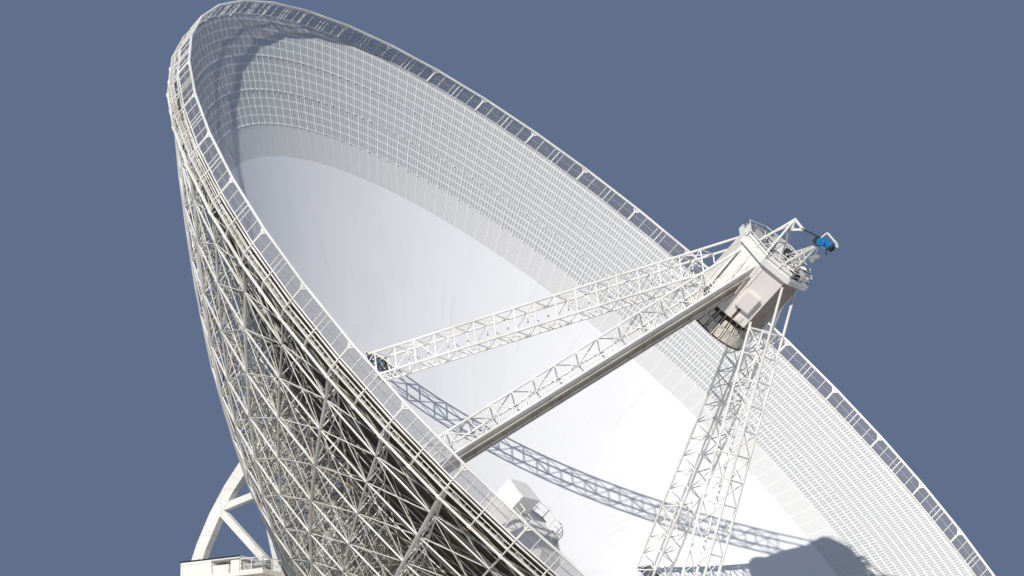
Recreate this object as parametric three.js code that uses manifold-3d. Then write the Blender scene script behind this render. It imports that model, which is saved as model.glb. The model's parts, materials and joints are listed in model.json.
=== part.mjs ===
// A fully steerable radio telescope dish, modelled at one tenth of its real size.
// Lengths below are real metres; METRE turns one real metre into model millimetres.
// The dish is built pointing along +Z about its own elevation axis, then tilted as a group.

import * as THREE from 'three';
import * as BufferGeometryUtils from 'three/addons/utils/BufferGeometryUtils.js';
import Module from 'manifold-3d';

const wasm = await Module();
wasm.setup();

const METRE = 100;
const SEAT_GAP = 0.003;

// Reflector
const ELEVATION_AT_REST = 39.9;
const AXIS_HEIGHT = 50;
const RIM_RADIUS = 50;
const FOCAL_LENGTH = 30;
const VERTEX_OFFSET = 8.5;
const PANEL_THICKNESS = 0.2;
const CENTRE_HOLE_RADIUS = 4.6;
const PERFORATED_FROM = 40;
const PANEL_RINGS = [CENTRE_HOLE_RADIUS, 14, 23, 32, PERFORATED_FROM];
const OUTER_PANEL_RINGS = [PERFORATED_FROM, RIM_RADIUS];
const RIM_SIDES = 48;
const COLLAR_HEIGHT = 1.48;
const COLLAR_TUBE = 0.26;
const RIM_BEAM_WIDTH = 0.45;
const RIM_BEAM_DEPTH = 0.5;

// Backing structure: the lower chord of each radial rib, as radius and height over the axis
const RIB_COUNT = 24;
const RIB_WIDTH = 0.4;
const CHORD_DEPTH = 0.42;
const RIB_LOWER = [[49.6, 27.4], [47, 24.9], [38.5, 16.4], [30, 9.1], [21.5, 3.5], [14, -0.9], [5.8, -3.2]];
const RING_RADII = [47, 38.5, 30, 21.5];
const RING_CHORD = 0.3;
const SECTOR_COUNT = 6;

// Hub, cabins and feed legs
const HUB_RADIUS = 5.8;
const HUB_BOTTOM = -3.2;
const VERTEX_CABIN_RADIUS = 4.0;
const VERTEX_CABIN_EAVES = 14.2;
const VERTEX_CABIN_TOP = 15.4;
const LEG_FOOT_RADIUS = 22.8;
const LEG_FOOT_HEIGHT = 11.2;
const LEG_TOP_RADIUS = 2.2;
const LEG_TOP_HEIGHT = 46.04;
const LEG_SIDE = 2.4;
const LEG_BAR = 0.26;
const LEG_BAYS = 6;
const CABIN_FLATS = 6.4;
const CABIN_BOTTOM = 41.6;
const CABIN_TOP = 47.0;
const CABIN_DECK_FLATS = 7.2;
const CABIN_DECK_DEPTH = 0.5;
const SUBREFLECTOR_RADIUS = 3.25;

// Elevation wheel
const WHEEL_RADIUS = 27.2;
const WHEEL_DEPTH = 1.2;
const WHEEL_WIDTH = 0.8;
const SPOKE_WIDTH = 0.66;

// Alidade
const BEARING_X = 22.6;
const TRACK_RADIUS = 32;
const CORNER = TRACK_RADIUS * Math.SQRT1_2;
const AZIMUTH_RAIL_TOP = 1.9;
const GIRDER_BOTTOM = 4.1;
const GIRDER_TOP = 6.3;
const A_LEG_WIDTH = 1.9;
const A_LEG_DEPTH = 1.4;
const TIE_HEIGHT = 25;
const BEARING_BOTTOM = AXIS_HEIGHT - 2.6;
const TRUNNION_RADIUS = 1.1;
const PINTLE_RADIUS = 1.2;
const PIN_SIDES = 32;
const DRIVE_DECK_TOP = 21.2;
const GEARBOX_TOP = AXIS_HEIGHT - WHEEL_RADIUS - 0.15;

const white = { color: '#eeede6', roughness: 0.5, metalness: 0.0 };
const panelWhite = { color: '#f2f3f4', roughness: 0.55, metalness: 0.0 };
const greyMesh = { color: '#cfd0d0', roughness: 0.6, metalness: 0.2 };
const beige = { color: '#d3cbc5', roughness: 0.5, metalness: 0.0 };
const steel = { color: '#8d9092', roughness: 0.45, metalness: 0.8 };
const concrete = { color: '#aaa79f', roughness: 0.9, metalness: 0.0 };

const radians = THREE.MathUtils.degToRad;

function surfaceHeight(radius) {
  return VERTEX_OFFSET + (radius * radius) / (4 * FOCAL_LENGTH);
}

// A point of the dish: radius from its axis, angle from the upper edge towards +X, height over the axis
function dishPoint(radius, degrees, height) {
  const angle = radians(degrees);
  return new THREE.Vector3(radius * Math.sin(angle), -radius * Math.cos(angle), height);
}

function signedVolume(geometry) {
  const points = geometry.attributes.position;
  const index = geometry.index;
  const corner = [new THREE.Vector3(), new THREE.Vector3(), new THREE.Vector3()];
  let volume = 0;
  for (let i = 0; i < index.count; i += 3) {
    corner.forEach((p, k) => p.fromBufferAttribute(points, index.getX(i + k)));
    volume += corner[0].dot(corner[1].clone().cross(corner[2])) / 6;
  }
  return volume;
}

// Welds a shape into one closed skin whose faces point out
function weld(shape) {
  const geometry = shape.clone();
  geometry.deleteAttribute('normal');
  geometry.deleteAttribute('uv');
  const welded = BufferGeometryUtils.mergeVertices(geometry, 1e-5);
  if (signedVolume(welded) < 0) {
    const index = welded.index;
    for (let i = 0; i < index.count; i += 3) {
      const first = index.getX(i);
      index.setX(i, index.getX(i + 1));
      index.setX(i + 1, first);
    }
  }
  return welded;
}

function toSolid(shape) {
  const geometry = weld(shape);
  return new wasm.Manifold(new wasm.Mesh({
    numProp: 3,
    vertProperties: new Float32Array(geometry.attributes.position.array),
    triVerts: new Uint32Array(geometry.index.array),
  }));
}

function toGeometry(solid) {
  const mesh = solid.getMesh();
  const geometry = new THREE.BufferGeometry();
  geometry.setAttribute('position', new THREE.BufferAttribute(mesh.vertProperties, 3));
  geometry.setIndex(new THREE.BufferAttribute(mesh.triVerts, 1));
  return geometry;
}

function fuse(shapes) {
  return toGeometry(shapes.map(toSolid).reduce((whole, next) => whole.add(next)));
}

function cut(shape, tools) {
  return toGeometry(tools.map(toSolid).reduce((whole, tool) => whole.subtract(tool), toSolid(shape)));
}

function box(x0, x1, y0, y1, z0, z1) {
  const geometry = new THREE.BoxGeometry(x1 - x0, y1 - y0, z1 - z0);
  return geometry.translate((x0 + x1) / 2, (y0 + y1) / 2, (z0 + z1) / 2);
}

// A square bar between two points; its faces are turned so that one pair faces the hint direction
function bar(from, to, width, depth = width, hint = new THREE.Vector3(0, 0, 1)) {
  const along = to.clone().sub(from);
  const length = along.length();
  const zAxis = along.normalize();
  const xAxis = new THREE.Vector3().crossVectors(hint, zAxis);
  if (xAxis.lengthSq() < 1e-6) {
    xAxis.set(1, 0, 0);
  }
  xAxis.normalize();
  const yAxis = new THREE.Vector3().crossVectors(zAxis, xAxis);
  const place = new THREE.Matrix4().makeBasis(xAxis, yAxis, zAxis);
  place.setPosition(from.clone().add(to).multiplyScalar(0.5));
  return new THREE.BoxGeometry(width, depth, length).applyMatrix4(place);
}

function cylinderAlongX(radius, x0, x1, sides) {
  const geometry = new THREE.CylinderGeometry(radius, radius, x1 - x0, sides);
  return geometry.rotateZ(Math.PI / 2).translate((x0 + x1) / 2, 0, 0);
}

function prism(sides, flats, z0, z1, turn) {
  const radius = flats / 2 / Math.cos(Math.PI / sides);
  const geometry = new THREE.CylinderGeometry(radius, radius, z1 - z0, sides);
  return geometry.rotateX(Math.PI / 2).rotateZ(turn).translate(0, 0, (z0 + z1) / 2);
}

// Corner radius of a many-sided bore whose flats clear a turning pin
function boreRadius(pinRadius, sides) {
  return (pinRadius + SEAT_GAP) / Math.cos(Math.PI / sides);
}

// A ring or bowl: a closed profile of radius and height points turned about +Z
function turned(profile, sides) {
  const points = [...profile, profile[0]].map(([radius, height]) => new THREE.Vector2(radius, height));
  return new THREE.LatheGeometry(points, sides).rotateX(Math.PI / 2);
}

function shape(points) {
  return new THREE.Shape(points.map(([x, y]) => new THREE.Vector2(x, y)));
}

const telescope = new THREE.Group();
const base = new THREE.Group();
const alidade = new THREE.Group();
const dish = new THREE.Group();
telescope.add(base, alidade, dish);
telescope.scale.setScalar(METRE);
dish.position.set(0, 0, AXIS_HEIGHT);
dish.rotation.x = radians(ELEVATION_AT_REST - 90);

function addPiece(group, name, geometry, finish) {
  const mesh = new THREE.Mesh(weld(geometry), new THREE.MeshStandardMaterial(finish));
  mesh.name = name;
  group.add(mesh);
  return mesh;
}

// Foundation: the ring under the azimuth rail, the rail and the centre block

function addFoundation() {
  const ringTop = 1.6;
  const ring = [[30.2, 0], [33.8, 0], [33.8, ringTop], [30.2, ringTop]];
  addPiece(base, 'track_foundation_ring', turned(ring, RIM_SIDES), concrete);
  const railBottom = ringTop + SEAT_GAP;
  const rail = [[31.6, railBottom], [32.4, railBottom], [32.4, AZIMUTH_RAIL_TOP], [31.6, AZIMUTH_RAIL_TOP]];
  addPiece(base, 'azimuth_rail', turned(rail, RIM_SIDES), steel);
  const block = new THREE.CylinderGeometry(4.2, 4.6, 2.6, 16).rotateX(Math.PI / 2).translate(0, 0, 1.3);
  const pin = new THREE.CylinderGeometry(PINTLE_RADIUS, PINTLE_RADIUS, 4.4, PIN_SIDES);
  pin.rotateX(Math.PI / 2).translate(0, 0, 4.2);
  addPiece(base, 'centre_foundation', fuse([block, pin]), concrete);
}

// Base frame: a square of box girders on four corner bogies, tied to the centre pin

function addBaseFrame() {
  const half = 1.1;
  const end = CORNER - half - SEAT_GAP;
  const outer = CORNER + half;
  const inner = CORNER - half;
  addPiece(alidade, 'front_base_girder', box(-outer, outer, inner, outer, GIRDER_BOTTOM, GIRDER_TOP), white);
  addPiece(alidade, 'rear_base_girder', box(-outer, outer, -outer, -inner, GIRDER_BOTTOM, GIRDER_TOP), white);
  addPiece(alidade, 'right_base_girder', box(inner, outer, -end, end, GIRDER_BOTTOM, GIRDER_TOP), white);
  addPiece(alidade, 'left_base_girder', box(-outer, -inner, -end, end, GIRDER_BOTTOM, GIRDER_TOP), white);
  const middle = (GIRDER_BOTTOM + GIRDER_TOP) / 2;
  const arms = [0, 90, 180, 270].map((degrees) => {
    const arm = bar(new THREE.Vector3(1.5, 1.5, middle), new THREE.Vector3(inner, inner, middle), 1.4, 1.8);
    return arm.rotateZ(radians(degrees));
  });
  const hub = new THREE.CylinderGeometry(3.4, 3.4, 2.6, 16).rotateX(Math.PI / 2).translate(0, 0, middle);
  const radius = boreRadius(PINTLE_RADIUS, PIN_SIDES);
  const bore = new THREE.CylinderGeometry(radius, radius, 5, PIN_SIDES).rotateX(Math.PI / 2).translate(0, 0, middle);
  const clear = inner - SEAT_GAP;
  const room = box(-clear, clear, -clear, clear, 0, 10);
  const cross = toSolid(cut(fuse([hub, ...arms]), [bore])).intersect(toSolid(room));
  addPiece(alidade, 'base_cross_girders', toGeometry(cross), white);
}

function addBogie(name, xSign, ySign) {
  const degrees = THREE.MathUtils.radToDeg(Math.atan2(ySign, xSign));
  const frame = box(-0.9, 0.9, -4.6, 4.6, 3.0, GIRDER_BOTTOM - SEAT_GAP);
  const wheelBottom = AZIMUTH_RAIL_TOP + SEAT_GAP;
  const wheelRadius = 0.75;
  const wheels = [-3.6, -1.2, 1.2, 3.6].map((y) => {
    const wheel = cylinderAlongX(wheelRadius, -0.28, 0.28, 12);
    return wheel.translate(0, y, wheelBottom + wheelRadius);
  });
  const bogie = fuse([frame, ...wheels]).translate(TRACK_RADIUS, 0, 0).rotateZ(radians(degrees));
  addPiece(alidade, name, bogie, steel);
}

// A-frames: on each side two box legs from the corners up to the elevation bearing

function aFrameLeg(xSign, ySign, clearance) {
  const foot = new THREE.Vector3(xSign * BEARING_X, ySign * (CORNER - 0.8), GIRDER_TOP - 0.6);
  const head = new THREE.Vector3(xSign * BEARING_X, ySign * 1.1, AXIS_HEIGHT - 1.4);
  return bar(foot, head, A_LEG_WIDTH + 2 * clearance, A_LEG_DEPTH + 2 * clearance);
}

function addAFrameLeg(name, xSign, ySign) {
  const below = box(-40, 40, -40, 40, -5, GIRDER_TOP + SEAT_GAP);
  const above = box(-40, 40, -40, 40, BEARING_BOTTOM - SEAT_GAP, 60);
  const middle = box(-40, 40, -0.15, 0.15, 0, 60);
  addPiece(alidade, name, cut(aFrameLeg(xSign, ySign, 0), [below, above, middle]), white);
}

function addTieBeam(name, xSign) {
  const x = xSign * BEARING_X;
  const half = 0.7;
  const beam = box(x - half, x + half, -13, 13, TIE_HEIGHT - half, TIE_HEIGHT + half);
  const legs = [1, -1].map((ySign) => aFrameLeg(xSign, ySign, SEAT_GAP));
  const outside = [1, -1].map((ySign) => {
    const near = ySign * 11.9;
    const far = ySign * 20;
    return box(x - 2, x + 2, Math.min(near, far), Math.max(near, far), TIE_HEIGHT - 2, TIE_HEIGHT + 2);
  });
  addPiece(alidade, name, cut(beam, [...legs, ...outside]), white);
}

function addBearing(name, xSign) {
  const bearingInner = 21.4;
  const bearingOuter = 23.9;
  const bottom = BEARING_BOTTOM;
  const housing = box(bearingInner, bearingOuter, -2.4, 2.4, bottom, AXIS_HEIGHT + 2.2);
  const deck = box(21.4, 26.7, -6.6, 2.6, bottom + 0.2, bottom + 0.7);
  const machineHouse = box(24.0, 26.6, -6.2, -3.0, bottom + 0.6, AXIS_HEIGHT + 4.3);
  const upperDeck = box(23.8, 26.6, -3.2, 2.4, AXIS_HEIGHT + 2.6, AXIS_HEIGHT + 2.9);
  const cabinet = box(24.0, 26.4, -3.1, 0.9, bottom + 0.6, AXIS_HEIGHT + 2.7);
  const roof = box(24.0, 26.6, -3.1, 0, AXIS_HEIGHT + 4.1, AXIS_HEIGHT + 4.3);
  const column = box(24.6, 26.4, -1.1, -0.2, AXIS_HEIGHT + 2.8, AXIS_HEIGHT + 4.2);
  const bore = cylinderAlongX(boreRadius(TRUNNION_RADIUS, PIN_SIDES), 15, 24.4, PIN_SIDES);
  bore.translate(0, 0, AXIS_HEIGHT);
  const bearing = cut(fuse([housing, deck, machineHouse, upperDeck, cabinet, roof, column]), [bore]);
  const placed = xSign > 0 ? bearing : bearing.scale(-1, 1, 1);
  addPiece(alidade, name, weld(placed), white);
}

// Elevation drive: a deck below the wheel on four sloping legs

function addDrive() {
  const deckBottom = DRIVE_DECK_TOP - 1.2;
  const legs = [[1, 1], [-1, 1], [-1, -1], [1, -1]].map(([xSign, ySign]) => {
    const foot = new THREE.Vector3(xSign * 15.6, ySign * 15.6, 5.4);
    const head = new THREE.Vector3(xSign * 3.4, ySign * 3.4, deckBottom + 0.3);
    return bar(foot, head, 1.1);
  });
  const collar = box(-4.4, 4.4, -4.4, 4.4, deckBottom - 0.9, deckBottom);
  const below = box(-30, 30, -30, 30, -5, GIRDER_TOP - 0.2 + SEAT_GAP);
  const above = box(-30, 30, -30, 30, deckBottom, 30);
  const tower = cut(fuse([collar, ...legs]), [below, above]);
  addPiece(alidade, 'elevation_drive_tower', tower, white);
  const deck = box(-6.4, 6.4, -5.2, 5.2, deckBottom + SEAT_GAP, DRIVE_DECK_TOP);
  const gearboxes = [1, -1].map((side) => {
    const near = side * (WHEEL_WIDTH / 2 + 0.25);
    const far = side * 3.6;
    return box(Math.min(near, far), Math.max(near, far), -2.2, 2.2, DRIVE_DECK_TOP - 0.1, GEARBOX_TOP);
  });
  addPiece(alidade, 'elevation_drive_deck', fuse([deck, ...gearboxes]), white);
}

// Reflector skin

function skinProfile(radii, liftBack) {
  const front = radii.map((radius) => [radius, surfaceHeight(radius)]);
  const back = radii.map((radius) => [radius, surfaceHeight(radius) - liftBack]).reverse();
  return [...front, ...back];
}

function addReflector() {
  const openings = [0, 90, 180, 270].map((degrees) => {
    const half = LEG_SIDE / 2 + 0.5;
    const opening = box(-half, half, -LEG_FOOT_RADIUS - 2.3, -LEG_FOOT_RADIUS + 1.4, 5, 20);
    return opening.rotateZ(radians(degrees));
  });
  const inner = cut(turned(skinProfile(PANEL_RINGS, PANEL_THICKNESS), RIM_SIDES), openings);
  addPiece(dish, 'solid_reflector_panels', inner, panelWhite);
  const rings = OUTER_PANEL_RINGS.map((radius) => (radius === PERFORATED_FROM ? radius + SEAT_GAP : radius));
  const outer = turned(skinProfile(rings, PANEL_THICKNESS), RIM_SIDES);
  addPiece(dish, 'perforated_reflector_panels', outer, greyMesh);
}

function addCollar() {
  const rimHeight = surfaceHeight(RIM_RADIUS);
  const inside = RIM_RADIUS + SEAT_GAP;
  const outside = inside + RIM_BEAM_WIDTH;
  const beamBottom = rimHeight - RIM_BEAM_DEPTH;
  const beam = turned([[inside, beamBottom], [outside, beamBottom], [outside, rimHeight], [inside, rimHeight]], RIM_SIDES);
  const top = rimHeight + COLLAR_HEIGHT;
  const middle = (inside + outside) / 2;
  const half = COLLAR_TUBE / 2;
  const tube = turned([
    [middle - half, top - half], [middle + half, top - half],
    [middle + half, top + half], [middle - half, top + half],
  ], RIM_SIDES);
  const posts = Array.from({ length: RIM_SIDES }, (_, i) => {
    const post = box(-0.1, 0.1, -middle - 0.1, -middle + 0.1, rimHeight - 0.1, top);
    return post.rotateZ(radians((i * 360) / RIM_SIDES));
  });
  addPiece(dish, 'rim_collar', fuse([beam, tube, ...posts]), white);
}

// Backing structure: radial truss ribs tied by ring chords, in equal sectors

function lowerAt(radius) {
  const found = RIB_LOWER.findIndex(([r]) => r <= radius);
  const i = found < 0 ? RIB_LOWER.length - 1 : Math.max(found, 1);
  const [r0, h0] = RIB_LOWER[i - 1];
  const [r1, h1] = RIB_LOWER[i];
  return h1 + ((h0 - h1) * (radius - r1)) / (r0 - r1);
}

// Height of the underside of the panels, straight between the panel rings as the skin is
function undersideAt(radius) {
  const radii = [...PANEL_RINGS, ...OUTER_PANEL_RINGS.slice(1)];
  const i = Math.min(radii.findIndex((r) => r >= radius), radii.length - 1);
  const j = Math.max(i, 1);
  const part = (radius - radii[j - 1]) / (radii[j] - radii[j - 1]);
  const height = surfaceHeight(radii[j - 1]) * (1 - part) + surfaceHeight(radii[j]) * part;
  return height - PANEL_THICKNESS - SEAT_GAP;
}

// A triangular opening whose sides lie inside the given triangle by the given edge width
function inset(corners, edge) {
  const sides = corners.map((p, i) => p.distanceTo(corners[(i + 1) % 3]));
  const perimeter = sides.reduce((a, b) => a + b);
  const area = Math.abs(corners[1].clone().sub(corners[0]).cross(corners[2].clone().sub(corners[0]))) / 2;
  const incentre = corners.reduce(
    (sum, p, i) => sum.add(p.clone().multiplyScalar(sides[(i + 1) % 3] / perimeter)), new THREE.Vector2());
  const inradius = (2 * area) / perimeter;
  const keep = 1 - edge / inradius;
  return new THREE.Path(corners.map((p) => incentre.clone().lerp(p, keep)));
}

function ribGeometry() {
  const innerRadius = HUB_RADIUS + SEAT_GAP;
  const topLine = [innerRadius, ...PANEL_RINGS.slice(1), 49.6].map((r) => [r, undersideAt(r)]);
  const bottomLine = RIB_LOWER.map(([r, h]) => [Math.max(r, innerRadius), h]);
  const outline = shape([...topLine, ...bottomLine]);
  const nodes = [innerRadius, 14, 21.5, 30, 38.5, 47];
  const edge = CHORD_DEPTH / 2;
  nodes.slice(0, -1).forEach((r0, i) => {
    const r1 = nodes[i + 1];
    const inset0 = r0 === innerRadius ? 0.1 : 0;
    const lowA = new THREE.Vector2(r0 + inset0, lowerAt(r0) + edge);
    const lowB = new THREE.Vector2(r1, lowerAt(r1) + edge);
    const topA = new THREE.Vector2(r0 + inset0, undersideAt(r0) - edge);
    const topB = new THREE.Vector2(r1, undersideAt(r1) - edge);
    const triangles = [[lowA, topB, topA], [lowA, lowB, topB]];
    outline.holes.push(...triangles.map((corners) => inset(corners, edge)));
  });
  const geometry = new THREE.ExtrudeGeometry(outline, { depth: RIB_WIDTH, bevelEnabled: false, curveSegments: 1 });
  return geometry.translate(0, 0, -RIB_WIDTH / 2).rotateX(Math.PI / 2);
}

// Turns a rib drawn along +X to its angle from the upper edge
function atAngle(geometry, degrees) {
  return geometry.clone().rotateZ(radians(degrees - 90));
}

function addBackingSectors() {
  const rib = ribGeometry();
  const step = 360 / RIB_COUNT;
  const ribsPerSector = RIB_COUNT / SECTOR_COUNT;
  for (let sector = 0; sector < SECTOR_COUNT; sector += 1) {
    const parts = [];
    for (let k = 0; k < ribsPerSector; k += 1) {
      const degrees = step / 2 + (sector * ribsPerSector + k) * step;
      parts.push(atAngle(rib, degrees));
      const last = k === ribsPerSector - 1;
      RING_RADII.forEach((radius) => {
        const height = lowerAt(radius) + RING_CHORD;
        const from = dishPoint(radius, degrees, height);
        const to = dishPoint(radius, degrees + step, height);
        if (last) {
          const back = (RIB_WIDTH / 2 + RING_CHORD * 0.08 + SEAT_GAP) / Math.cos(radians(step / 2));
          to.add(from.clone().sub(to).setLength(back));
        }
        parts.push(bar(from, to, RING_CHORD));
      });
    }
    addPiece(dish, `backing_sector_${sector + 1}`, fuse(parts), white);
  }
}

// Hub and cabins

function addHub() {
  const drum = prism(24, HUB_RADIUS * 2, HUB_BOTTOM, VERTEX_OFFSET - 0.6, 0);
  addPiece(dish, 'reflector_hub', drum, white);
  const cabinBottom = VERTEX_OFFSET - 0.6 + SEAT_GAP;
  const body = prism(8, VERTEX_CABIN_RADIUS * 2, cabinBottom, VERTEX_CABIN_EAVES, radians(22.5));
  const roof = prism(8, VERTEX_CABIN_RADIUS * 1.4, VERTEX_CABIN_EAVES - 0.1, VERTEX_CABIN_TOP, radians(22.5));
  const lantern = box(0.2, 2.9, -3.0, -0.8, VERTEX_CABIN_EAVES - 0.1, VERTEX_CABIN_TOP + 1.8);
  addPiece(dish, 'vertex_cabin', fuse([body, roof, lantern]), white);
}

function legFrame(degrees) {
  const foot = dishPoint(LEG_FOOT_RADIUS + 0.9, degrees, LEG_FOOT_HEIGHT);
  const head = dishPoint(LEG_TOP_RADIUS, degrees, LEG_TOP_HEIGHT);
  const along = head.clone().sub(foot).normalize();
  const side = dishPoint(1, degrees + 90, 0);
  const out = new THREE.Vector3().crossVectors(along, side).normalize();
  return { foot, head, along, side, out };
}

// A feed leg: four chords and zigzag bars on its four faces
function feedLegGeometry() {
  const { foot, head, side, out } = legFrame(0);
  const half = (LEG_SIDE - LEG_BAR) / 2;
  const corners = [[1, 1], [-1, 1], [-1, -1], [1, -1]].map(([a, b]) => (
    side.clone().multiplyScalar(a * half).add(out.clone().multiplyScalar(b * half))));
  const at = (corner, part) => foot.clone().lerp(head, part).add(corner);
  const chordWidth = LEG_BAR * 1.15;
  const footPart = 0.005;
  const parts = corners.map((corner) => bar(at(corner, 0), at(corner, 1.07), chordWidth, chordWidth, out));
  corners.forEach((corner, i) => {
    const next = corners[(i + 1) % 4];
    parts.push(bar(at(corner, footPart), at(next, footPart), LEG_BAR * 0.9, LEG_BAR * 0.9, out));
    for (let bay = 0; bay < LEG_BAYS; bay += 1) {
      const [low, high] = bay % 2 === 0 ? [corner, next] : [next, corner];
      const start = Math.max(bay / LEG_BAYS, footPart);
      const slim = LEG_BAR * (0.7 - 0.025 * bay - 0.004 * i);
      parts.push(bar(at(low, start), at(high, (bay + 1) / LEG_BAYS), slim, slim, out));
    }
  });
  const cabin = prism(8, CABIN_FLATS + 2 * SEAT_GAP, CABIN_BOTTOM - 1, CABIN_TOP + 5, radians(22.5));
  return cut(fuse(parts), [cabin]);
}

// The closed tray under the walkway of the right leg, on the side that looks down
function walkwayTray() {
  const { foot, head, side, out } = legFrame(0);
  const offset = side.clone().multiplyScalar(LEG_SIDE / 2 - 0.12);
  const start = foot.clone().lerp(head, 0.02).add(offset);
  const end = foot.clone().lerp(head, 0.89).add(offset);
  return bar(start, end, LEG_SIDE - 0.1, 0.16, side);
}

function addFeedLegs() {
  const leg = feedLegGeometry();
  const walkway = fuse([leg, walkwayTray()]);
  [['upper', leg], ['right', walkway], ['lower', leg], ['left', leg]].forEach(([place, geometry], i) => {
    addPiece(dish, `${place}_feed_leg`, geometry.clone().rotateZ(radians(i * 90)), white);
  });
}

function addPrimeFocusCabin() {
  const body = prism(8, CABIN_FLATS, CABIN_BOTTOM, CABIN_TOP, radians(22.5));
  const hatch = box(CABIN_FLATS / 2 - 0.1, CABIN_FLATS / 2 + 0.45, -0.75, 0.75, CABIN_BOTTOM + 1.2, CABIN_BOTTOM + 2.9);
  hatch.rotateZ(radians(45));
  addPiece(dish, 'prime_focus_cabin', fuse([body, hatch]), beige);
  const bowlTop = CABIN_BOTTOM - SEAT_GAP;
  const bowl = [
    [0.2, bowlTop], [2.3, bowlTop], [2.65, bowlTop - 0.6], [3.0, bowlTop - 1.4], [SUBREFLECTOR_RADIUS, bowlTop - 2.2],
    [SUBREFLECTOR_RADIUS - 0.15, bowlTop - 2.3], [2.0, bowlTop - 1.4], [0.2, bowlTop - 0.9],
  ];
  addPiece(dish, 'subreflector', turned(bowl, 16), beige);
  const deckBottom = CABIN_TOP + SEAT_GAP;
  const deckTop = deckBottom + CABIN_DECK_DEPTH;
  const deck = prism(8, CABIN_DECK_FLATS, deckBottom, deckTop, radians(22.5));
  const railHeight = deckTop + 1.1;
  const railRadius = 3.7;
  const rail = turned([
    [railRadius, railHeight], [railRadius + 0.14, railHeight],
    [railRadius + 0.14, railHeight + 0.14], [railRadius, railHeight + 0.14],
  ], 8).rotateZ(radians(22.5));
  const posts = Array.from({ length: 8 }, (_, i) => (
    box(railRadius - 0.02, railRadius + 0.1, -0.06, 0.06, deckTop - 0.1, railHeight + 0.08)
      .rotateZ(radians(22.5 + i * 45))));
  const hoistTip = new THREE.Vector3(1.0, -0.4, 51.1);
  const boomTip = new THREE.Vector3(1.0, 3.8, 52.6);
  const frameFeet = [[-2.2, -2.2], [2.2, -2.2], [0, 2.4]].map(([x, y]) => new THREE.Vector3(x, y, deckTop - 0.1));
  const hoist = [
    ...frameFeet.map((foot, i) => bar(foot, hoistTip, 0.15 + 0.01 * i)),
    ...frameFeet.slice(1).map((foot, i) => bar(foot, boomTip, 0.13 + 0.01 * i)),
    bar(hoistTip, boomTip, 0.24),
    new THREE.BoxGeometry(0.5, 0.5, 0.5).translate(...hoistTip.toArray()),
    new THREE.BoxGeometry(0.44, 0.44, 0.44).translate(...boomTip.toArray()),
  ];
  addPiece(dish, 'cabin_platform_and_hoist', fuse([deck, rail, ...posts, ...hoist]), white);
}

// Elevation wheel in the plane between the two middle ribs, in an upper and a lower half

function wheelPoint(degrees, radius) {
  const angle = radians(degrees);
  return new THREE.Vector3(0, -radius * Math.cos(angle), -radius * Math.sin(angle));
}

function arcGirder(fromDegrees, toDegrees, segments) {
  const inner = WHEEL_RADIUS - WHEEL_DEPTH;
  const outline = new THREE.Shape();
  const step = (toDegrees - fromDegrees) / segments;
  for (let i = 0; i <= segments; i += 1) {
    const angle = radians(fromDegrees + i * step);
    outline.lineTo(WHEEL_RADIUS * Math.cos(angle), WHEEL_RADIUS * Math.sin(angle));
  }
  for (let i = segments; i >= 0; i -= 1) {
    const angle = radians(fromDegrees + i * step);
    outline.lineTo(inner * Math.cos(angle), inner * Math.sin(angle));
  }
  const first = radians(fromDegrees);
  outline.curves.shift();
  outline.lineTo(WHEEL_RADIUS * Math.cos(first), WHEEL_RADIUS * Math.sin(first));
  const girder = new THREE.ExtrudeGeometry(outline, { depth: WHEEL_WIDTH, bevelEnabled: false });
  const place = new THREE.Matrix4().makeBasis(
    new THREE.Vector3(0, -1, 0), new THREE.Vector3(0, 0, -1), new THREE.Vector3(1, 0, 0));
  return girder.translate(0, 0, -WHEEL_WIDTH / 2).applyMatrix4(place);
}

function addWheelHalf(name, mirrored) {
  const middle = WHEEL_RADIUS - WHEEL_DEPTH / 2;
  const hubEdge = new THREE.Vector3(0, -1.0, HUB_BOTTOM - 2.4);
  const knee = new THREE.Vector3(0, -20.6, 1.4);
  const endTop = new THREE.Vector3(0, -29.4, lowerAt(30) - 0.3);
  const rim = arcGirder(0, 90 - 0.01, 14);
  const endPost = bar(wheelPoint(0, middle), endTop, WHEEL_WIDTH - 0.1, WHEEL_DEPTH, new THREE.Vector3(1, 0, 0));
  const spokes = [17.5, 41, 65].map((degrees) => bar(hubEdge, wheelPoint(degrees, middle), SPOKE_WIDTH));
  const rearSpoke = box(-WHEEL_WIDTH / 2, WHEEL_WIDTH / 2, -0.7, 0.7, -WHEEL_RADIUS + 0.4, HUB_BOTTOM - SEAT_GAP);
  const brace = bar(wheelPoint(17.5, middle), knee, SPOKE_WIDTH - 0.04);
  const braceFoot = bar(knee, new THREE.Vector3(0, -4.5, 1.2), SPOKE_WIDTH - 0.04);
  const hub = prism(24, (HUB_RADIUS + SEAT_GAP) * 2, HUB_BOTTOM, VERTEX_OFFSET, 0);
  const tie = bar(knee, wheelPoint(0, middle), SPOKE_WIDTH - 0.04);
  const { foot, along } = legFrame(0);
  const seat = foot.clone().sub(along.clone().multiplyScalar(0.3 + SEAT_GAP));
  const seatEnd = seat.clone().sub(along.clone().multiplyScalar(0.3));
  const seatTop = seat.clone().add(along.clone().multiplyScalar(0.3));
  const seatBlock = bar(seatEnd, seatTop, LEG_SIDE, LEG_SIDE, new THREE.Vector3(1, 0, 0));
  const strut = bar(seat, wheelPoint(0, middle), SPOKE_WIDTH);
  const half = fuse([rim, endPost, ...spokes, rearSpoke, brace, braceFoot, tie, seatBlock, strut]);
  const plane = box(-5, 5, -0.002, 5, -40, 40);
  const solid = cut(half, [plane, hub]);
  const placed = mirrored ? weld(solid.scale(1, -1, 1)) : solid;
  addPiece(dish, name, placed, white);
}

// Side frames: from each trunnion to the feed leg foot, the ribs and the rear of the wheel

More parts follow.
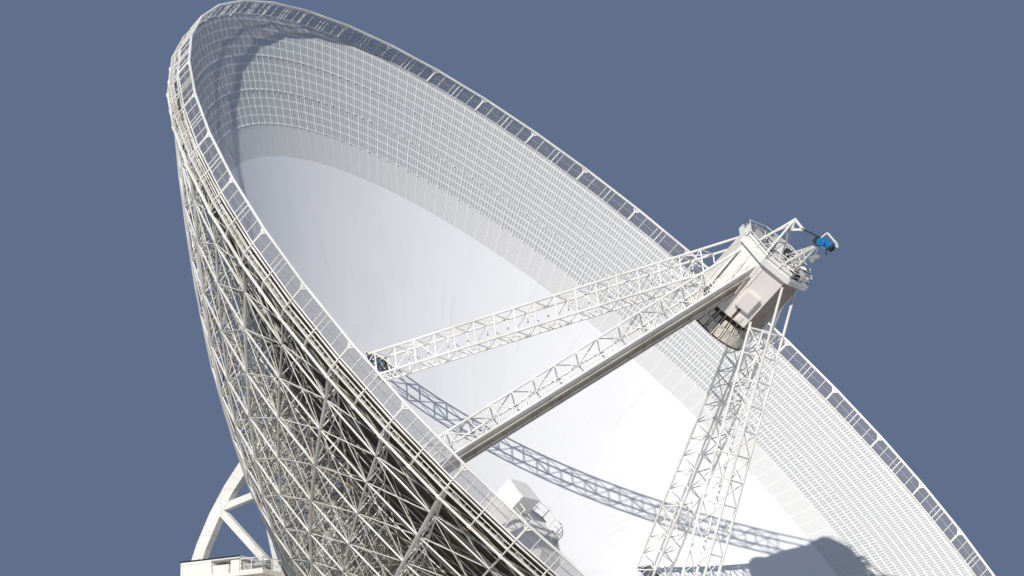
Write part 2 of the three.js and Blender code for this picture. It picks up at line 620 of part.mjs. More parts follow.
function rearStrut(width) {
  const start = new THREE.Vector3(18.4, 0, 0);
  return bar(start, new THREE.Vector3(0, 0, -25.9), width);
}

function addSideFrame(name, xSign) {
  const inner = 16.6;
  const trunnion = cylinderAlongX(TRUNNION_RADIUS, inner, 24.3, PIN_SIDES);
  const head = box(inner, 20.6, -1.5, 1.5, -1.5, 1.5);
  const { foot, along } = legFrame(90);
  const seat = foot.clone().sub(along.clone().multiplyScalar(0.3 + SEAT_GAP));
  const seatEnd = seat.clone().sub(along.clone().multiplyScalar(0.3));
  const seatTop = seat.clone().add(along.clone().multiplyScalar(0.3));
  const seatBlock = bar(seatEnd, seatTop, LEG_SIDE, LEG_SIDE, new THREE.Vector3(0, 1, 0));
  const strut = bar(new THREE.Vector3(18.4, 0, 0), seat, 0.9);
  const hubTie = bar(new THREE.Vector3(18.4, 0, -0.9), new THREE.Vector3(4, 0, HUB_BOTTOM + 0.6), 0.8);
  const ties = [1, -1].map((side) => (
    bar(new THREE.Vector3(18.4, 0, -0.6), new THREE.Vector3(0, side * 26.8, -1.6), 0.8)));
  const wheelPlane = box(-WHEEL_WIDTH, WHEEL_WIDTH / 2 + SEAT_GAP, -40, 40, -40, 40);
  const hub = prism(24, (HUB_RADIUS + SEAT_GAP) * 2, HUB_BOTTOM - 1, VERTEX_OFFSET, 0);
  const frame = cut(fuse([trunnion, head, seatBlock, strut, rearStrut(1.0), hubTie, ...ties]), [wheelPlane, hub]);
  const placed = xSign > 0 ? frame : weld(frame.scale(-1, 1, 1));
  addPiece(dish, name, placed, white);
}

function addCounterweight(name, xSign) {
  const near = WHEEL_WIDTH / 2 + SEAT_GAP;
  const block = box(near, near + 4.2, 1.6, 6.4, -26.2, -21.4);
  const mirror = block.clone().scale(1, -1, 1);
  const bridge = box(near, near + 0.6, -2, 2, -23.6, -22.4);
  const weights = cut(fuse([block, weld(mirror), bridge]), [rearStrut(1.0 + 2 * SEAT_GAP)]);
  const placed = xSign > 0 ? weights : weld(weights.scale(-1, 1, 1));
  addPiece(dish, name, placed, beige);
}

addFoundation();
addBaseFrame();
addBogie('front_right_bogie', 1, 1);
addBogie('front_left_bogie', -1, 1);
addBogie('rear_left_bogie', -1, -1);
addBogie('rear_right_bogie', 1, -1);
addAFrameLeg('right_front_a_frame_leg', 1, 1);
addAFrameLeg('right_rear_a_frame_leg', 1, -1);
addAFrameLeg('left_front_a_frame_leg', -1, 1);
addAFrameLeg('left_rear_a_frame_leg', -1, -1);
addTieBeam('right_a_frame_tie_beam', 1);
addTieBeam('left_a_frame_tie_beam', -1);
addBearing('right_bearing_platform', 1);
addBearing('left_bearing_platform', -1);
addDrive();
addReflector();
addCollar();
addBackingSectors();
addHub();
addFeedLegs();
addPrimeFocusCabin();
addWheelHalf('upper_wheel_half', false);
addWheelHalf('lower_wheel_half', true);
addSideFrame('right_side_frame', 1);
addSideFrame('left_side_frame', -1);
addCounterweight('right_counterweight', 1);
addCounterweight('left_counterweight', -1);

export default telescope;
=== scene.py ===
# %% [markdown]
# A fully steerable radio telescope with a deep 100 m dish, built here at one tenth of its real size.
# Every length in this lesson is a real metre; SCALE turns it into a metre of the model.
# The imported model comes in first, as a fixed frame: it gives the places that everything else is fitted to.

# %% Load the frame
import json

import bpy
import numpy as np
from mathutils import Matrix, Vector


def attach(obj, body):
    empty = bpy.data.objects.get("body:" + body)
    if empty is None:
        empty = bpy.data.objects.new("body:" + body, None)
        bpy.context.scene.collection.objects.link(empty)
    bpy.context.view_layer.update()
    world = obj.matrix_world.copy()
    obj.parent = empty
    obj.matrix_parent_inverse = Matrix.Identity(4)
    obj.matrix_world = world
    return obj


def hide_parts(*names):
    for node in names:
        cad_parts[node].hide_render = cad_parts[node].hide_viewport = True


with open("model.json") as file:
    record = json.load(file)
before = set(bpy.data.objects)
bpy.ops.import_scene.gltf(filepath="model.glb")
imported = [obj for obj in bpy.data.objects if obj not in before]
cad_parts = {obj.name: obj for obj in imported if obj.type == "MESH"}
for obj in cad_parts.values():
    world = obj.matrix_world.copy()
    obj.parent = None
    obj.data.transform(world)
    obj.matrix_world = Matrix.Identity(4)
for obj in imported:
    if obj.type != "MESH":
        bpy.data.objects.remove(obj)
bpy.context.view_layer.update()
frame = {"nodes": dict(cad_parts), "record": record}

# %% [markdown]
# The dish is easiest to think of along its own axis: a radius, an angle counted from the upper edge towards
# the right side, and a height over the elevation axis. One function carries such points into the frame.

# %% Places on the dish and on the ground
SCALE = 0.1
ELEVATION = np.radians(39.9)
AXIS_HEIGHT = 50.0
FOCAL_LENGTH = 30.0
VERTEX_OFFSET = 8.5
BAYS = 48
BAY = 360.0 / BAYS


def dish_local(x, up, height):
    """Sideways x, upward u and axial a from the dish axis, turned by the elevation E:
    y = a cos E - u sin E, z = axis height + a sin E + u cos E."""
    x, up, height = np.broadcast_arrays(np.asarray(x, float), up, height)
    y = height * np.cos(ELEVATION) - up * np.sin(ELEVATION)
    z = AXIS_HEIGHT + height * np.sin(ELEVATION) + up * np.cos(ELEVATION)
    return np.stack([x, y, z], axis=-1) * SCALE


def dish_point(radius, degrees, height):
    """x = r sin t and u = r cos t, with t from the upper edge towards the right side."""
    angle = np.radians(degrees)
    return dish_local(radius * np.sin(angle), radius * np.cos(angle), height)


def ground_local(x, y, height):
    """Plain coordinates of the standing part, from the azimuth axis."""
    x, y, height = np.broadcast_arrays(np.asarray(x, float), y, height)
    return np.stack([x, y, height], axis=-1) * SCALE


def ground_point(radius, degrees, height):
    """x = r sin t, y = r cos t, about the azimuth axis."""
    angle = np.radians(degrees)
    return ground_local(radius * np.sin(angle), radius * np.cos(angle), height)


def surface_height(radius):
    """The paraboloid of focal length f: height = vertex offset + r squared / 4 f."""
    return VERTEX_OFFSET + np.asarray(radius, float) ** 2 / (4 * FOCAL_LENGTH)


DISH_AXIS = dish_local(0, 0, 1) - dish_local(0, 0, 0)
DISH_UP = dish_local(0, 1, 0) - dish_local(0, 0, 0)
print("vertex of the dish at", dish_point(0, 0, VERTEX_OFFSET).round(3))

# %% [markdown]
# Nearly everything on this machine is a bar, a box girder or a ring. A bar is a small polygon carried from
# one point to another. The makers below do that for thousands of bars at once and give points and faces.

# %% Makers for bars and beams


def directions(starts, ends, hint):
    """Unit vectors: d along each bar, p = hint x d, q = d x p."""
    along = ends - starts
    d = along / np.linalg.norm(along, axis=1, keepdims=True)
    p = np.cross(np.broadcast_to(np.asarray(hint, float), d.shape), d)
    small = np.linalg.norm(p, axis=1) < 1e-4
    p[small] = np.cross(np.array([1.0, 0.0, 0.013]), d[small])
    p /= np.linalg.norm(p, axis=1, keepdims=True)
    return p, np.cross(d, p)


def prisms(starts, ends, across, upward, hint):
    """Corners start and end + p a_k + q b_k; side faces join corner k to k + 1, caps close both ends."""
    starts, ends = np.atleast_2d(starts).reshape(-1, 3), np.atleast_2d(ends).reshape(-1, 3)
    p, q = directions(starts, ends, hint)
    count, sides = len(starts), len(across)
    ring = (p[:, None] * across[None, :, None] + q[:, None] * upward[None, :, None]) * SCALE
    points = np.concatenate([starts[:, None] + ring, ends[:, None] + ring], axis=1)
    k = np.arange(sides)
    quad = np.stack([k, (k + 1) % sides, (k + 1) % sides + sides, k + sides], axis=1)
    base = (np.arange(count) * 2 * sides)[:, None, None]
    caps = np.stack([k[::-1], k + sides])
    return points.reshape(-1, 3), [(base + quad).reshape(-1, 4), (base + caps).reshape(-1, sides)]


def bars(starts, ends, radius, sides=6, hint=(0, 0, 1)):
    """Round bars: corner k lies r (p cos t + q sin t) off the ends, t = 2 pi k / sides."""
    t = np.arange(sides) * 2 * np.pi / sides
    return prisms(starts, ends, radius * np.cos(t), radius * np.sin(t), hint)


def beams(starts, ends, width, depth, hint=(0, 0, 1)):
    """Box beams: the width lies along hint x d, the depth across it."""
    across = np.array([1, -1, -1, 1]) * width / 2
    upward = np.array([1, 1, -1, -1]) * depth / 2
    return prisms(starts, ends, across, upward, hint)


def joined(*shapes):
    """Several shapes as one: later points are numbered on from earlier ones."""
    points, faces, offset = [], [], 0
    for shape_points, shape_faces in shapes:
        points.append(shape_points)
        faces += [group + offset for group in shape_faces]
        offset += len(shape_points)
    return np.concatenate(points), faces


def linked(points, closed=False):
    """Start and end points of the bars along a line of points."""
    points = np.asarray(points)
    return (points, np.roll(points, -1, axis=0)) if closed else (points[:-1], points[1:])


def both_sides(shape):
    """The shape and its mirror image, x turned to -x, with the image's faces turned back outwards."""
    points, faces = shape
    return joined(shape, (points * np.array([-1, 1, 1]), [group[:, ::-1] for group in faces]))


def block(x, y, z):
    """A box between real coordinates of the standing part; each of x, y and z is a pair."""
    middle_x, middle_y = sum(x) / 2, sum(y) / 2
    ends = ground_local(middle_x, middle_y, z[0]), ground_local(middle_x, middle_y, z[1])
    return beams(*ends, x[1] - x[0], y[1] - y[0], hint=(0, 1, 0))


def face_block(degrees, radial, side, height):
    """A box seen from the dish axis at an angle: pairs of radial, sideways and axial distances."""
    angle = np.radians(degrees)
    r, s = sum(radial) / 2, sum(side) / 2
    x, up = r * np.sin(angle) + s * np.cos(angle), r * np.cos(angle) - s * np.sin(angle)
    outward = dish_local(np.sin(angle), np.cos(angle), 0) - dish_local(0, 0, 0)
    ends = dish_local(x, up, height[0]), dish_local(x, up, height[1])
    return beams(*ends, side[1] - side[0], radial[1] - radial[0], hint=outward)


print("makers ready")

# %% [markdown]
# Rings, drums and domes are a profile turned about an axis, and stairs and railings are rows of bars along a
# line. These are made once too, because the machine carries kilometres of walkway.

# %% Makers for turned shapes, railings and stairs


def facing_out(shape):
    """Reverses every face if the enclosed volume, the sum of a . (b x c) / 6, comes out negative."""
    points, faces = shape
    volume = 0.0
    for group in faces:
        for k in range(1, group.shape[1] - 1):
            a, b, c = points[group[:, 0]], points[group[:, k]], points[group[:, k + 1]]
            volume += np.einsum("ij,ij->", a, np.cross(b, c))
    return (points, [group[:, ::-1] for group in faces]) if volume < 0 else shape


def turned(profile, segments, place=dish_point, first=0.0):
    """A closed profile (r_k, h_k) at angles t_j: point (j, k) = place(r_k, t_j, h_k), closed both ways."""
    profile = np.asarray(profile, float)
    angles = first + 360.0 * np.arange(segments) / segments
    points = place(profile[None, :, 0], angles[:, None], profile[None, :, 1])
    count = len(profile)
    j, k = np.meshgrid(np.arange(segments), np.arange(count), indexing="ij")
    nj, nk = (j + 1) % segments, (k + 1) % count
    quads = np.stack([j * count + k, nj * count + k, nj * count + nk, j * count + nk], axis=-1).reshape(-1, 4)
    return facing_out((points.reshape(-1, 3), [quads]))


def flat_ring(inner, outer, low, high, segments, place=dish_point, first=0.0):
    """A ring of rectangular section between two radii and two heights."""
    return turned([(inner, low), (outer, low), (outer, high), (inner, high)], segments, place, first)


def drum(outline, segments, first):
    """A solid of revolution: the outline (r_i, h_i), with its first and last rings closed by caps."""
    outline = np.asarray(outline, float)
    angles = first + 360.0 * np.arange(segments) / segments
    points = dish_point(outline[:, 0, None], angles[None, :], outline[:, 1, None]).reshape(-1, 3)
    i, j = np.meshgrid(np.arange(len(outline) - 1), np.arange(segments), indexing="ij")
    nj = (j + 1) % segments
    quads = np.stack([i * segments + j, i * segments + nj, (i + 1) * segments + nj, (i + 1) * segments + j],
                     axis=-1).reshape(-1, 4)
    k = np.arange(segments)
    caps = np.stack([k[::-1], k + (len(outline) - 1) * segments])
    return facing_out((points, [quads, caps]))


RAIL_HEIGHT = 1.1
POST_SPACING = 1.5


def railing(path, up=(0, 0, 1), closed=False, height=RAIL_HEIGHT):
    """Along each side of the path: posts at equal steps, a hand rail, a knee rail and a low kick plate."""
    starts, ends = linked(np.asarray(path, float), closed)
    lift = np.asarray(up, float) / np.linalg.norm(up) * height * SCALE
    lengths = np.linalg.norm(ends - starts, axis=1)
    counts = np.maximum(1, np.ceil(lengths / (POST_SPACING * SCALE)).astype(int))
    feet = np.concatenate([s + (e - s) * np.arange(n + 1)[:, None] / n
                           for s, e, n in zip(starts, ends, counts)])
    return joined(bars(feet, feet + lift, 0.04, 5), bars(starts + lift, ends + lift, 0.045, 6),
                  bars(starts + lift / 2, ends + lift / 2, 0.03, 5),
                  beams(starts + lift * 0.07, ends + lift * 0.07, 0.03, 0.15))


TREAD_SPACING = 0.3


def stairway(start, end, width, side):
    """Treads every 0.3 m between two stringers, with a railing over each stringer."""
    start, end, side = np.asarray(start, float), np.asarray(end, float), np.asarray(side, float)
    count = int(np.linalg.norm(end - start) / (TREAD_SPACING * SCALE))
    line = start + (end - start) * (np.arange(count)[:, None] + 0.5) / count
    half = side * width / 2 * SCALE
    parts = [beams(line - half, line + half, 0.26, 0.05)]
    for edge in (half, -half):
        parts.append(beams(start + edge, end + edge, 0.05, 0.28))
        parts.append(railing(np.stack([start + edge, end + edge])))
    return joined(*parts)


LADDER_HALF = 0.28
HOOPS_FROM = 2.2
HOOP_SPACING = 0.9
HOOP_CORNERS = ((-LADDER_HALF, 0.0), (-0.36, 0.35), (-0.2, 0.7), (0.2, 0.7), (0.36, 0.35), (LADDER_HALF, 0.0))


def ladder(x, y, low, high, side):
    """An upright ladder: two rails with a rung every 0.3 m, and from 2.2 m up safety hoops joined by straps.
    side is +1 or -1, the direction in y in which the hoops stand out."""
    heights = np.arange(low + 0.2, high, TREAD_SPACING)
    hoops = np.arange(low + HOOPS_FROM, high, HOOP_SPACING)
    parts = [bars(ground_local(x - 0.25, y, heights), ground_local(x + 0.25, y, heights), 0.025, 5)]
    for edge in (-LADDER_HALF, LADDER_HALF):
        parts.append(bars(ground_local(x + edge, y, low), ground_local(x + edge, y, high), 0.04, 6))
    places = [(x + across, y + side * out) for across, out in HOOP_CORNERS]
    for here, there in zip(places[:-1], places[1:]):
        parts.append(bars(ground_local(*here, hoops), ground_local(*there, hoops), 0.025, 4))
        parts.append(bars(ground_local(*there, low + HOOPS_FROM), ground_local(*there, high - 0.2), 0.02, 4))
    return joined(*parts)


print("rail height", RAIL_HEIGHT, "m, tread spacing", TREAD_SPACING, "m")

# %% [markdown]
# A material is a few nodes. One function adds a node with its settings and links, and another turns a hex
# colour, as it is read from a paint chart, into the linear light values that the renderer works with.
# Sockets that share a name are given by number: a colour Mix takes its factor at 0 and its two colours at 6
# and 7, and gives its result at 2. Map Range takes the incoming range at 1 and 2, the outgoing at 3 and 4.

# %% Helpers for materials


def colour(code):
    """c / 12.92 below 0.04045, else ((c + 0.055) / 1.055) to the power 2.4, per channel."""
    values = np.array([int(code[i:i + 2], 16) for i in (1, 3, 5)]) / 255
    linear = np.where(values <= 0.04045, values / 12.92, ((values + 0.055) / 1.055) ** 2.4)
    return (*linear.tolist(), 1.0)


def add_node(tree, kind, inputs=None, output=0, **settings):
    """Adds one node and gives back one output; inputs maps each socket to a value or to another output."""
    node = tree.nodes.new("ShaderNode" + kind)
    for key, value in settings.items():
        setattr(node, key, value)
    for key, value in (inputs or {}).items():
        if isinstance(value, bpy.types.NodeSocket):
            tree.links.new(value, node.inputs[key])
        else:
            node.inputs[key].default_value = value
    return node.outputs[output]


def new_material(name, roughness, metallic=0.0):
    """An empty material with its surface shader and the object's own coordinates."""
    material = bpy.data.materials.new(name)
    material.use_nodes = True
    tree = material.node_tree
    shader = tree.nodes["Principled BSDF"]
    shader.inputs["Roughness"].default_value = roughness
    shader.inputs["Metallic"].default_value = metallic
    place = add_node(tree, "TexCoord", output="Object")
    return material, tree, shader, place


print("helpers ready")

# %% [markdown]
# Most of the telescope is structural steel under a white weatherproof coating. It is never one even white:
# dust and old touch-up work leave patches several metres wide, rain draws streaks down, and the roller leaves
# a faint skin. Box girders also show the weld seams where one plate ends and the next begins.

# %% Coated steel
SEAM_SPACING = 4.0


def coated_steel(name, clean, worn, roughness, patch=5.0, seams=False):
    """Patches and vertical streaks mix two tones; seams are narrow bright beads every few metres."""
    material, tree, shader, place = new_material(name, roughness)
    cloud = add_node(tree, "TexNoise", {"Vector": place, "Scale": 1 / (patch * SCALE), "Detail": 6.0})
    patches = add_node(tree, "MapRange", {0: cloud, 1: 0.45, 2: 0.75}, interpolation_type="SMOOTHSTEP")
    drops = add_node(tree, "Mapping", {"Vector": place, "Scale": (1.0, 1.0, 0.08)})
    runs = add_node(tree, "TexNoise", {"Vector": drops, "Scale": 2 / SCALE, "Detail": 3.0})
    streaks = add_node(tree, "MapRange", {0: runs, 1: 0.56, 2: 0.8, 4: 0.7}, interpolation_type="SMOOTHSTEP")
    dirt = add_node(tree, "Math", {0: patches, 1: streaks}, operation="MAXIMUM")
    shade = add_node(tree, "Mix", {0: dirt, 6: colour(clean), 7: colour(worn)}, 2, data_type="RGBA")
    grain = add_node(tree, "TexNoise", {"Vector": place, "Scale": 8 / SCALE, "Detail": 2.0})
    relief = add_node(tree, "Math", {0: grain, 1: 0.15}, operation="MULTIPLY")
    if seams:
        cut = add_node(tree, "VectorMath", {0: place, 3: 1 / (SEAM_SPACING * SCALE)}, operation="SCALE")
        part = add_node(tree, "VectorMath", {0: cut}, operation="FRACTION")
        centred = add_node(tree, "VectorMath", {0: part, 1: (0.5, 0.5, 0.5)}, operation="SUBTRACT")
        off = add_node(tree, "VectorMath", {0: centred}, operation="ABSOLUTE")
        x, y, z = (add_node(tree, "SeparateXYZ", {0: off}, axis) for axis in range(3))
        near = add_node(tree, "Math", {0: x, 1: y}, operation="MINIMUM")
        near = add_node(tree, "Math", {0: near, 1: z}, operation="MINIMUM")
        bead = add_node(tree, "MapRange", {0: near, 1: 0.014, 2: 0.006}, interpolation_type="SMOOTHSTEP")
        faint = add_node(tree, "Math", {0: bead, 1: 0.35}, operation="MULTIPLY")
        shade = add_node(tree, "Mix", {0: faint, 6: shade, 7: colour("#b9b6ad")}, 2, data_type="RGBA")
        relief = add_node(tree, "Math", {0: relief, 1: bead}, operation="ADD")
    bump = add_node(tree, "Bump", {"Strength": 0.25, "Distance": 0.002, "Height": relief})
    tree.links.new(shade, shader.inputs["Base Color"])
    tree.links.new(bump, shader.inputs["Normal"])
    return material


# Weatherproof white over welded steel: a satin skin, slightly cream where it has aged
lattice_white = coated_steel("white_coating_on_steel_tubes", "#f3f1ea", "#dcd8cc", 0.45)
# The same coating on plates: wide calm areas, so the weld beads are what the eye finds
girder_white = coated_steel("white_coating_on_welded_box_girders", "#f2f0e9", "#e0dcd0", 0.42, seams=True)
# Matt dark brown-grey on the rear of the panels, mostly a painted shade that stands in for the shade and the
# dark ground under the bowl, so the bowl looks dark from behind
back_painted_shade = coated_steel("painted_shade_on_panel_backs", "#423b2f", "#322c23", 0.85, patch=3.0)
# Darker cream on the thin inner bars, a painted shade, so the depth of the lattice reads darker than its skin
brace_cream_painted_shade = coated_steel("cream_with_painted_shade_on_inner_braces", "#c2b9a5", "#92886f", 0.55, patch=3.0)
# Beige of the focus cabin's cladding: a warm tone that sets the cabin off from its white legs
cabin_beige = coated_steel("beige_coating_on_sheet_cladding", "#f2eae1", "#e2d9ce", 0.4, patch=2.0)
# Frames between the panels: matt, a shade duller than the tubes
frame_white = coated_steel("matt_white_coating_on_panel_frames", "#e4e3df", "#d4d3ce", 0.6)
# The cabin's lowest side faces down: its beige is painted a brownish grey, a painted shade
cabin_shade = coated_steel("beige_with_painted_shade_on_lower_cladding", "#9c9083", "#887c6f", 0.5, patch=2.0)
# White cladding, cleaner and glossier than the tubes
cabin_white = coated_steel("white_coating_on_sheet_cladding", "#f4f0e8", "#dfd9ce", 0.4, patch=1.5)
# Plain machine grey: housings and bearings recede behind the white structure
shaft_grey = coated_steel("grey_coating_on_machine_housings", "#a3a5a4", "#868886", 0.45, patch=1.5)
# Zinc that has gone dull and blotchy
tray_grey = coated_steel("grey_galvanised_underside_plate", "#b3ac9d", "#928a7b", 0.6, patch=2.0)
# Brown oxide primer that shows in deep gaps
recess_brown = coated_steel("brown_oxide_primer_in_recesses", "#6a5846", "#4a3c30", 0.75, patch=0.8)
# Cream segments of the subreflector, yellowed by sun
segment_cream = coated_steel("cream_coating_on_reflector_segments", "#e9dfcd", "#cdbfa8", 0.4, patch=0.8)
# Rubber: nearly black and dull
dark_rubber = coated_steel("black_rubber_seal_and_cable_sheath", "#2c2c2e", "#1d1d1f", 0.7, patch=0.6)
# Glossy machine enamel, the one strong colour on the telescope
motor_blue = coated_steel("blue_enamel_on_hoist_motor", "#2379b8", "#185a8c", 0.3, patch=0.4)
print("coatings:", len(bpy.data.materials))

# %% [markdown]
# The rest is concrete, the rail's bright steel, glass and wire. Each starts from its real surface: cast
# concrete keeps the lines of its boards, a rail is polished only where the wheels roll, and glass stays dark.

# %% Concrete, rail steel, glass and wire mesh


def cast_concrete():
    """Grey with damp stains; board lines every 0.5 m of height as shallow steps in the bump."""
    material, tree, shader, place = new_material("board_cast_concrete", 0.9)
    cloud = add_node(tree, "TexNoise", {"Vector": place, "Scale": 0.33 / SCALE, "Detail": 6.0})
    stains = add_node(tree, "MapRange", {0: cloud, 1: 0.4, 2: 0.75}, interpolation_type="SMOOTHSTEP")
    shade = add_node(tree, "Mix", {0: stains, 6: colour("#b4b0a6"), 7: colour("#8f8b81")}, 2,
                     data_type="RGBA")
    specks = add_node(tree, "TexNoise", {"Vector": place, "Scale": 12 / SCALE, "Detail": 2.0})
    grit = add_node(tree, "Math", {0: specks, 1: 0.25}, operation="MULTIPLY")
    shade = add_node(tree, "Mix", {0: grit, 6: shade, 7: colour("#77736b")}, 2, data_type="RGBA")
    height = add_node(tree, "SeparateXYZ", {0: place}, "Z")
    boards = add_node(tree, "Math", {0: height, 1: 2 / SCALE}, operation="MULTIPLY")
    board = add_node(tree, "Math", {0: boards}, operation="FRACT")
    line = add_node(tree, "Math", {0: board, 1: 0.06}, operation="GREATER_THAN")
    relief = add_node(tree, "Math", {0: line, 1: grit}, operation="ADD")
    bump = add_node(tree, "Bump", {"Strength": 0.4, "Distance": 0.003, "Height": relief})
    tree.links.new(shade, shader.inputs["Base Color"])
    tree.links.new(bump, shader.inputs["Normal"])
    return material


def rolled_rail():
    """Bare steel where the surface looks up and the wheels polish it, brown rust film on its sides."""
    material, tree, shader, place = new_material("rolled_rail_steel", 0.35, 1.0)
    facing = add_node(tree, "NewGeometry", output="Normal")
    upward = add_node(tree, "SeparateXYZ", {0: facing}, "Z")
    cloud = add_node(tree, "TexNoise", {"Vector": place, "Scale": 2.5 / SCALE, "Detail": 3.0})
    worn = add_node(tree, "Math", {0: cloud, 1: 0.3, 2: upward}, operation="MULTIPLY_ADD")
    polished = add_node(tree, "MapRange", {0: worn, 1: 0.8, 2: 1.1}, interpolation_type="SMOOTHSTEP")
    shade = add_node(tree, "Mix", {0: polished, 6: colour("#6b4f3c"), 7: colour("#b9babb")}, 2,
                     data_type="RGBA")
    dull = add_node(tree, "Math", {0: polished, 1: -0.6, 2: 0.85}, operation="MULTIPLY_ADD")
    tree.links.new(shade, shader.inputs["Base Color"])
    tree.links.new(dull, shader.inputs["Roughness"])
    tree.links.new(polished, shader.inputs["Metallic"])
    return material


def window_glass():
    """Coated glass: dark blue-green and glossy, a little different from pane to pane."""
    material, tree, shader, place = new_material("blue_green_coated_window_glass", 0.08)
    cloud = add_node(tree, "TexNoise", {"Vector": place, "Scale": 0.8 / SCALE, "Detail": 3.0})
    tint = add_node(tree, "Mix", {0: cloud, 6: colour("#2f4a5c"), 7: colour("#4c7186")}, 2, data_type="RGBA")
    tree.links.new(tint, shader.inputs["Base Color"])
    return material


WIRE_COVER = 0.3


def wire_mesh():
    """Fine wire, far below a pixel here: each of the sheet's two faces lets part of the light through."""
    material, tree, shader, place = new_material("galvanised_wire_mesh", 0.6)
    cloud = add_node(tree, "TexNoise", {"Vector": place, "Scale": 0.5 / SCALE, "Detail": 3.0})
    tone = add_node(tree, "Mix", {0: cloud, 6: colour("#86858c"), 7: colour("#9b9aa0")}, 2, data_type="RGBA")
    tree.links.new(tone, shader.inputs["Base Color"])
    shader.inputs["Alpha"].default_value = WIRE_COVER
    return material


concrete, rail_steel, glass, screen_wire = cast_concrete(), rolled_rail(), window_glass(), wire_mesh()
print("materials:", len(bpy.data.materials))

# %% [markdown]
# Every piece goes through one function. It builds the mesh from points and faces, gives it its material and
# lets it ride on a body, so that the piece moves with the joints.

# %% Making a piece


def piece(name, shape, material, body="dish", smooth=False, replaces=()):
    """Points and faces become a mesh object at the origin that moves with a body."""
    points, faces = shape
    mesh = bpy.data.meshes.new(name)
    mesh.from_pydata(points.tolist(), [], [face for group in faces for face in group.tolist()])
    mesh.materials.append(material)
    mesh.polygons.foreach_set("use_smooth", np.full(len(mesh.polygons), smooth))
    mesh.update()
    thing = bpy.data.objects.new(name, mesh)
    bpy.context.collection.objects.link(thing)
    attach(thing, body)
    if replaces:
        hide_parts(*replaces)
    print(f"{name}: {len(points)} points")
    return thing


# %% [markdown]
# The camera stands low, about 370 m away in real terms, with a long 150 mm lens; its place and aim were
# worked out from the rim's posts in the photograph. The sun's direction follows from the shadow that the
# collar throws into the bowl. The wide pale floor throws soft light up into everything that faces down.

# %% Camera, light and floor
CAMERA_PLACE = (30.723, 21.177, -0.451)
CAMERA_AIM = Vector((-0.81363, -0.53539, 0.22665))
TOWARDS_SUN = Vector((0.844, 0.346, 0.409))
SUN_STRENGTH = 3.7
SUN_DEGREES = 0.5
FLOOR_RADIUS = 150.0
FLOOR_SIDES = 96
FLOOR_DROP = 0.02

camera_data = bpy.data.cameras.new("camera")
camera_data.lens = 150.0
camera_data.sensor_width = 36.0
camera_data.clip_end = 300.0
camera = bpy.data.objects.new("camera", camera_data)
camera.location = CAMERA_PLACE
camera.rotation_mode = "QUATERNION"
camera.rotation_quaternion = CAMERA_AIM.to_track_quat("-Z", "Y")
bpy.context.collection.objects.link(camera)
bpy.context.scene.camera = camera

sun_data = bpy.data.lights.new("key", "SUN")
sun_data.energy = SUN_STRENGTH
sun_data.angle = np.radians(SUN_DEGREES)
sun_data.color = (1.0, 0.97, 0.93)
sun = bpy.data.objects.new("key", sun_data)
sun.rotation_mode = "QUATERNION"
sun.rotation_quaternion = (-TOWARDS_SUN).to_track_quat("-Z", "Y")
bpy.context.collection.objects.link(sun)

world = bpy.data.worlds.new("soft_sky")
world.use_nodes = True
world.node_tree.nodes["Background"].inputs["Color"].default_value = colour("#5f6f8c")
world.node_tree.nodes["Background"].inputs["Strength"].default_value = 1.0
bpy.context.scene.world = world
bpy.context.scene.view_settings.view_transform = "Standard"

floor_turns = np.arange(FLOOR_SIDES)
floor_points = ground_point(FLOOR_RADIUS, floor_turns * 360 / FLOOR_SIDES, -FLOOR_DROP)
floor_mesh = bpy.data.meshes.new("floor")
floor_mesh.from_pydata(floor_points.tolist(), [], [floor_turns[::-1].tolist()])
floor_material, floor_tree, floor_shader, floor_place = new_material("pale_matt_floor", 0.9)
floor_cloud = add_node(floor_tree, "TexNoise", {"Vector": floor_place, "Scale": 0.05 / SCALE, "Detail": 3.0})
floor_tone = add_node(floor_tree, "Mix", {0: floor_cloud, 6: colour("#d2ccbe"), 7: colour("#cbc5b7")}, 2,
                      data_type="RGBA")
floor_tree.links.new(floor_tone, floor_shader.inputs["Base Color"])
floor_mesh.materials.append(floor_material)
floor = bpy.data.objects.new("floor", floor_mesh)
bpy.context.collection.objects.link(floor)
print("camera at", tuple(camera.location))

# %% [markdown]
# The reflecting surface is one paraboloid. Out to 40 m it is smooth solid panels; the photograph shows no
# joints there, only slightly different tones from panel to panel and long streaks where rain runs. The skin
# is a grid in radius and angle with its own UV map, so the tones can follow the panels.

# %% Reflector skin
PERFORATED_FROM = 39.83
SOLID_ROWS = np.linspace(4.6, PERFORATED_FROM - 0.01, 45)
OUTER_ROWS = np.array([PERFORATED_FROM, 40.6, 41.4, 42.2, 43.0, 43.9, 44.75, 45.6, 46.4, 47.2, 48.1, 49.0,
                       49.97])
SKIN_COLUMNS = 192
SKIN_THICKNESS = 0.2
LEG_OPENING_HALF_ANGLE = 3.75
LEG_OPENING_RADII = (21.9, 23.7)


def at_leg_foot(radius, degrees):
    """True inside one of the four openings that the feed legs stand in."""
    off = np.abs((degrees + 45.0) % 90.0 - 45.0)
    inside = (radius > LEG_OPENING_RADII[0]) & (radius < LEG_OPENING_RADII[1])
    return inside & (off < LEG_OPENING_HALF_ANGLE)


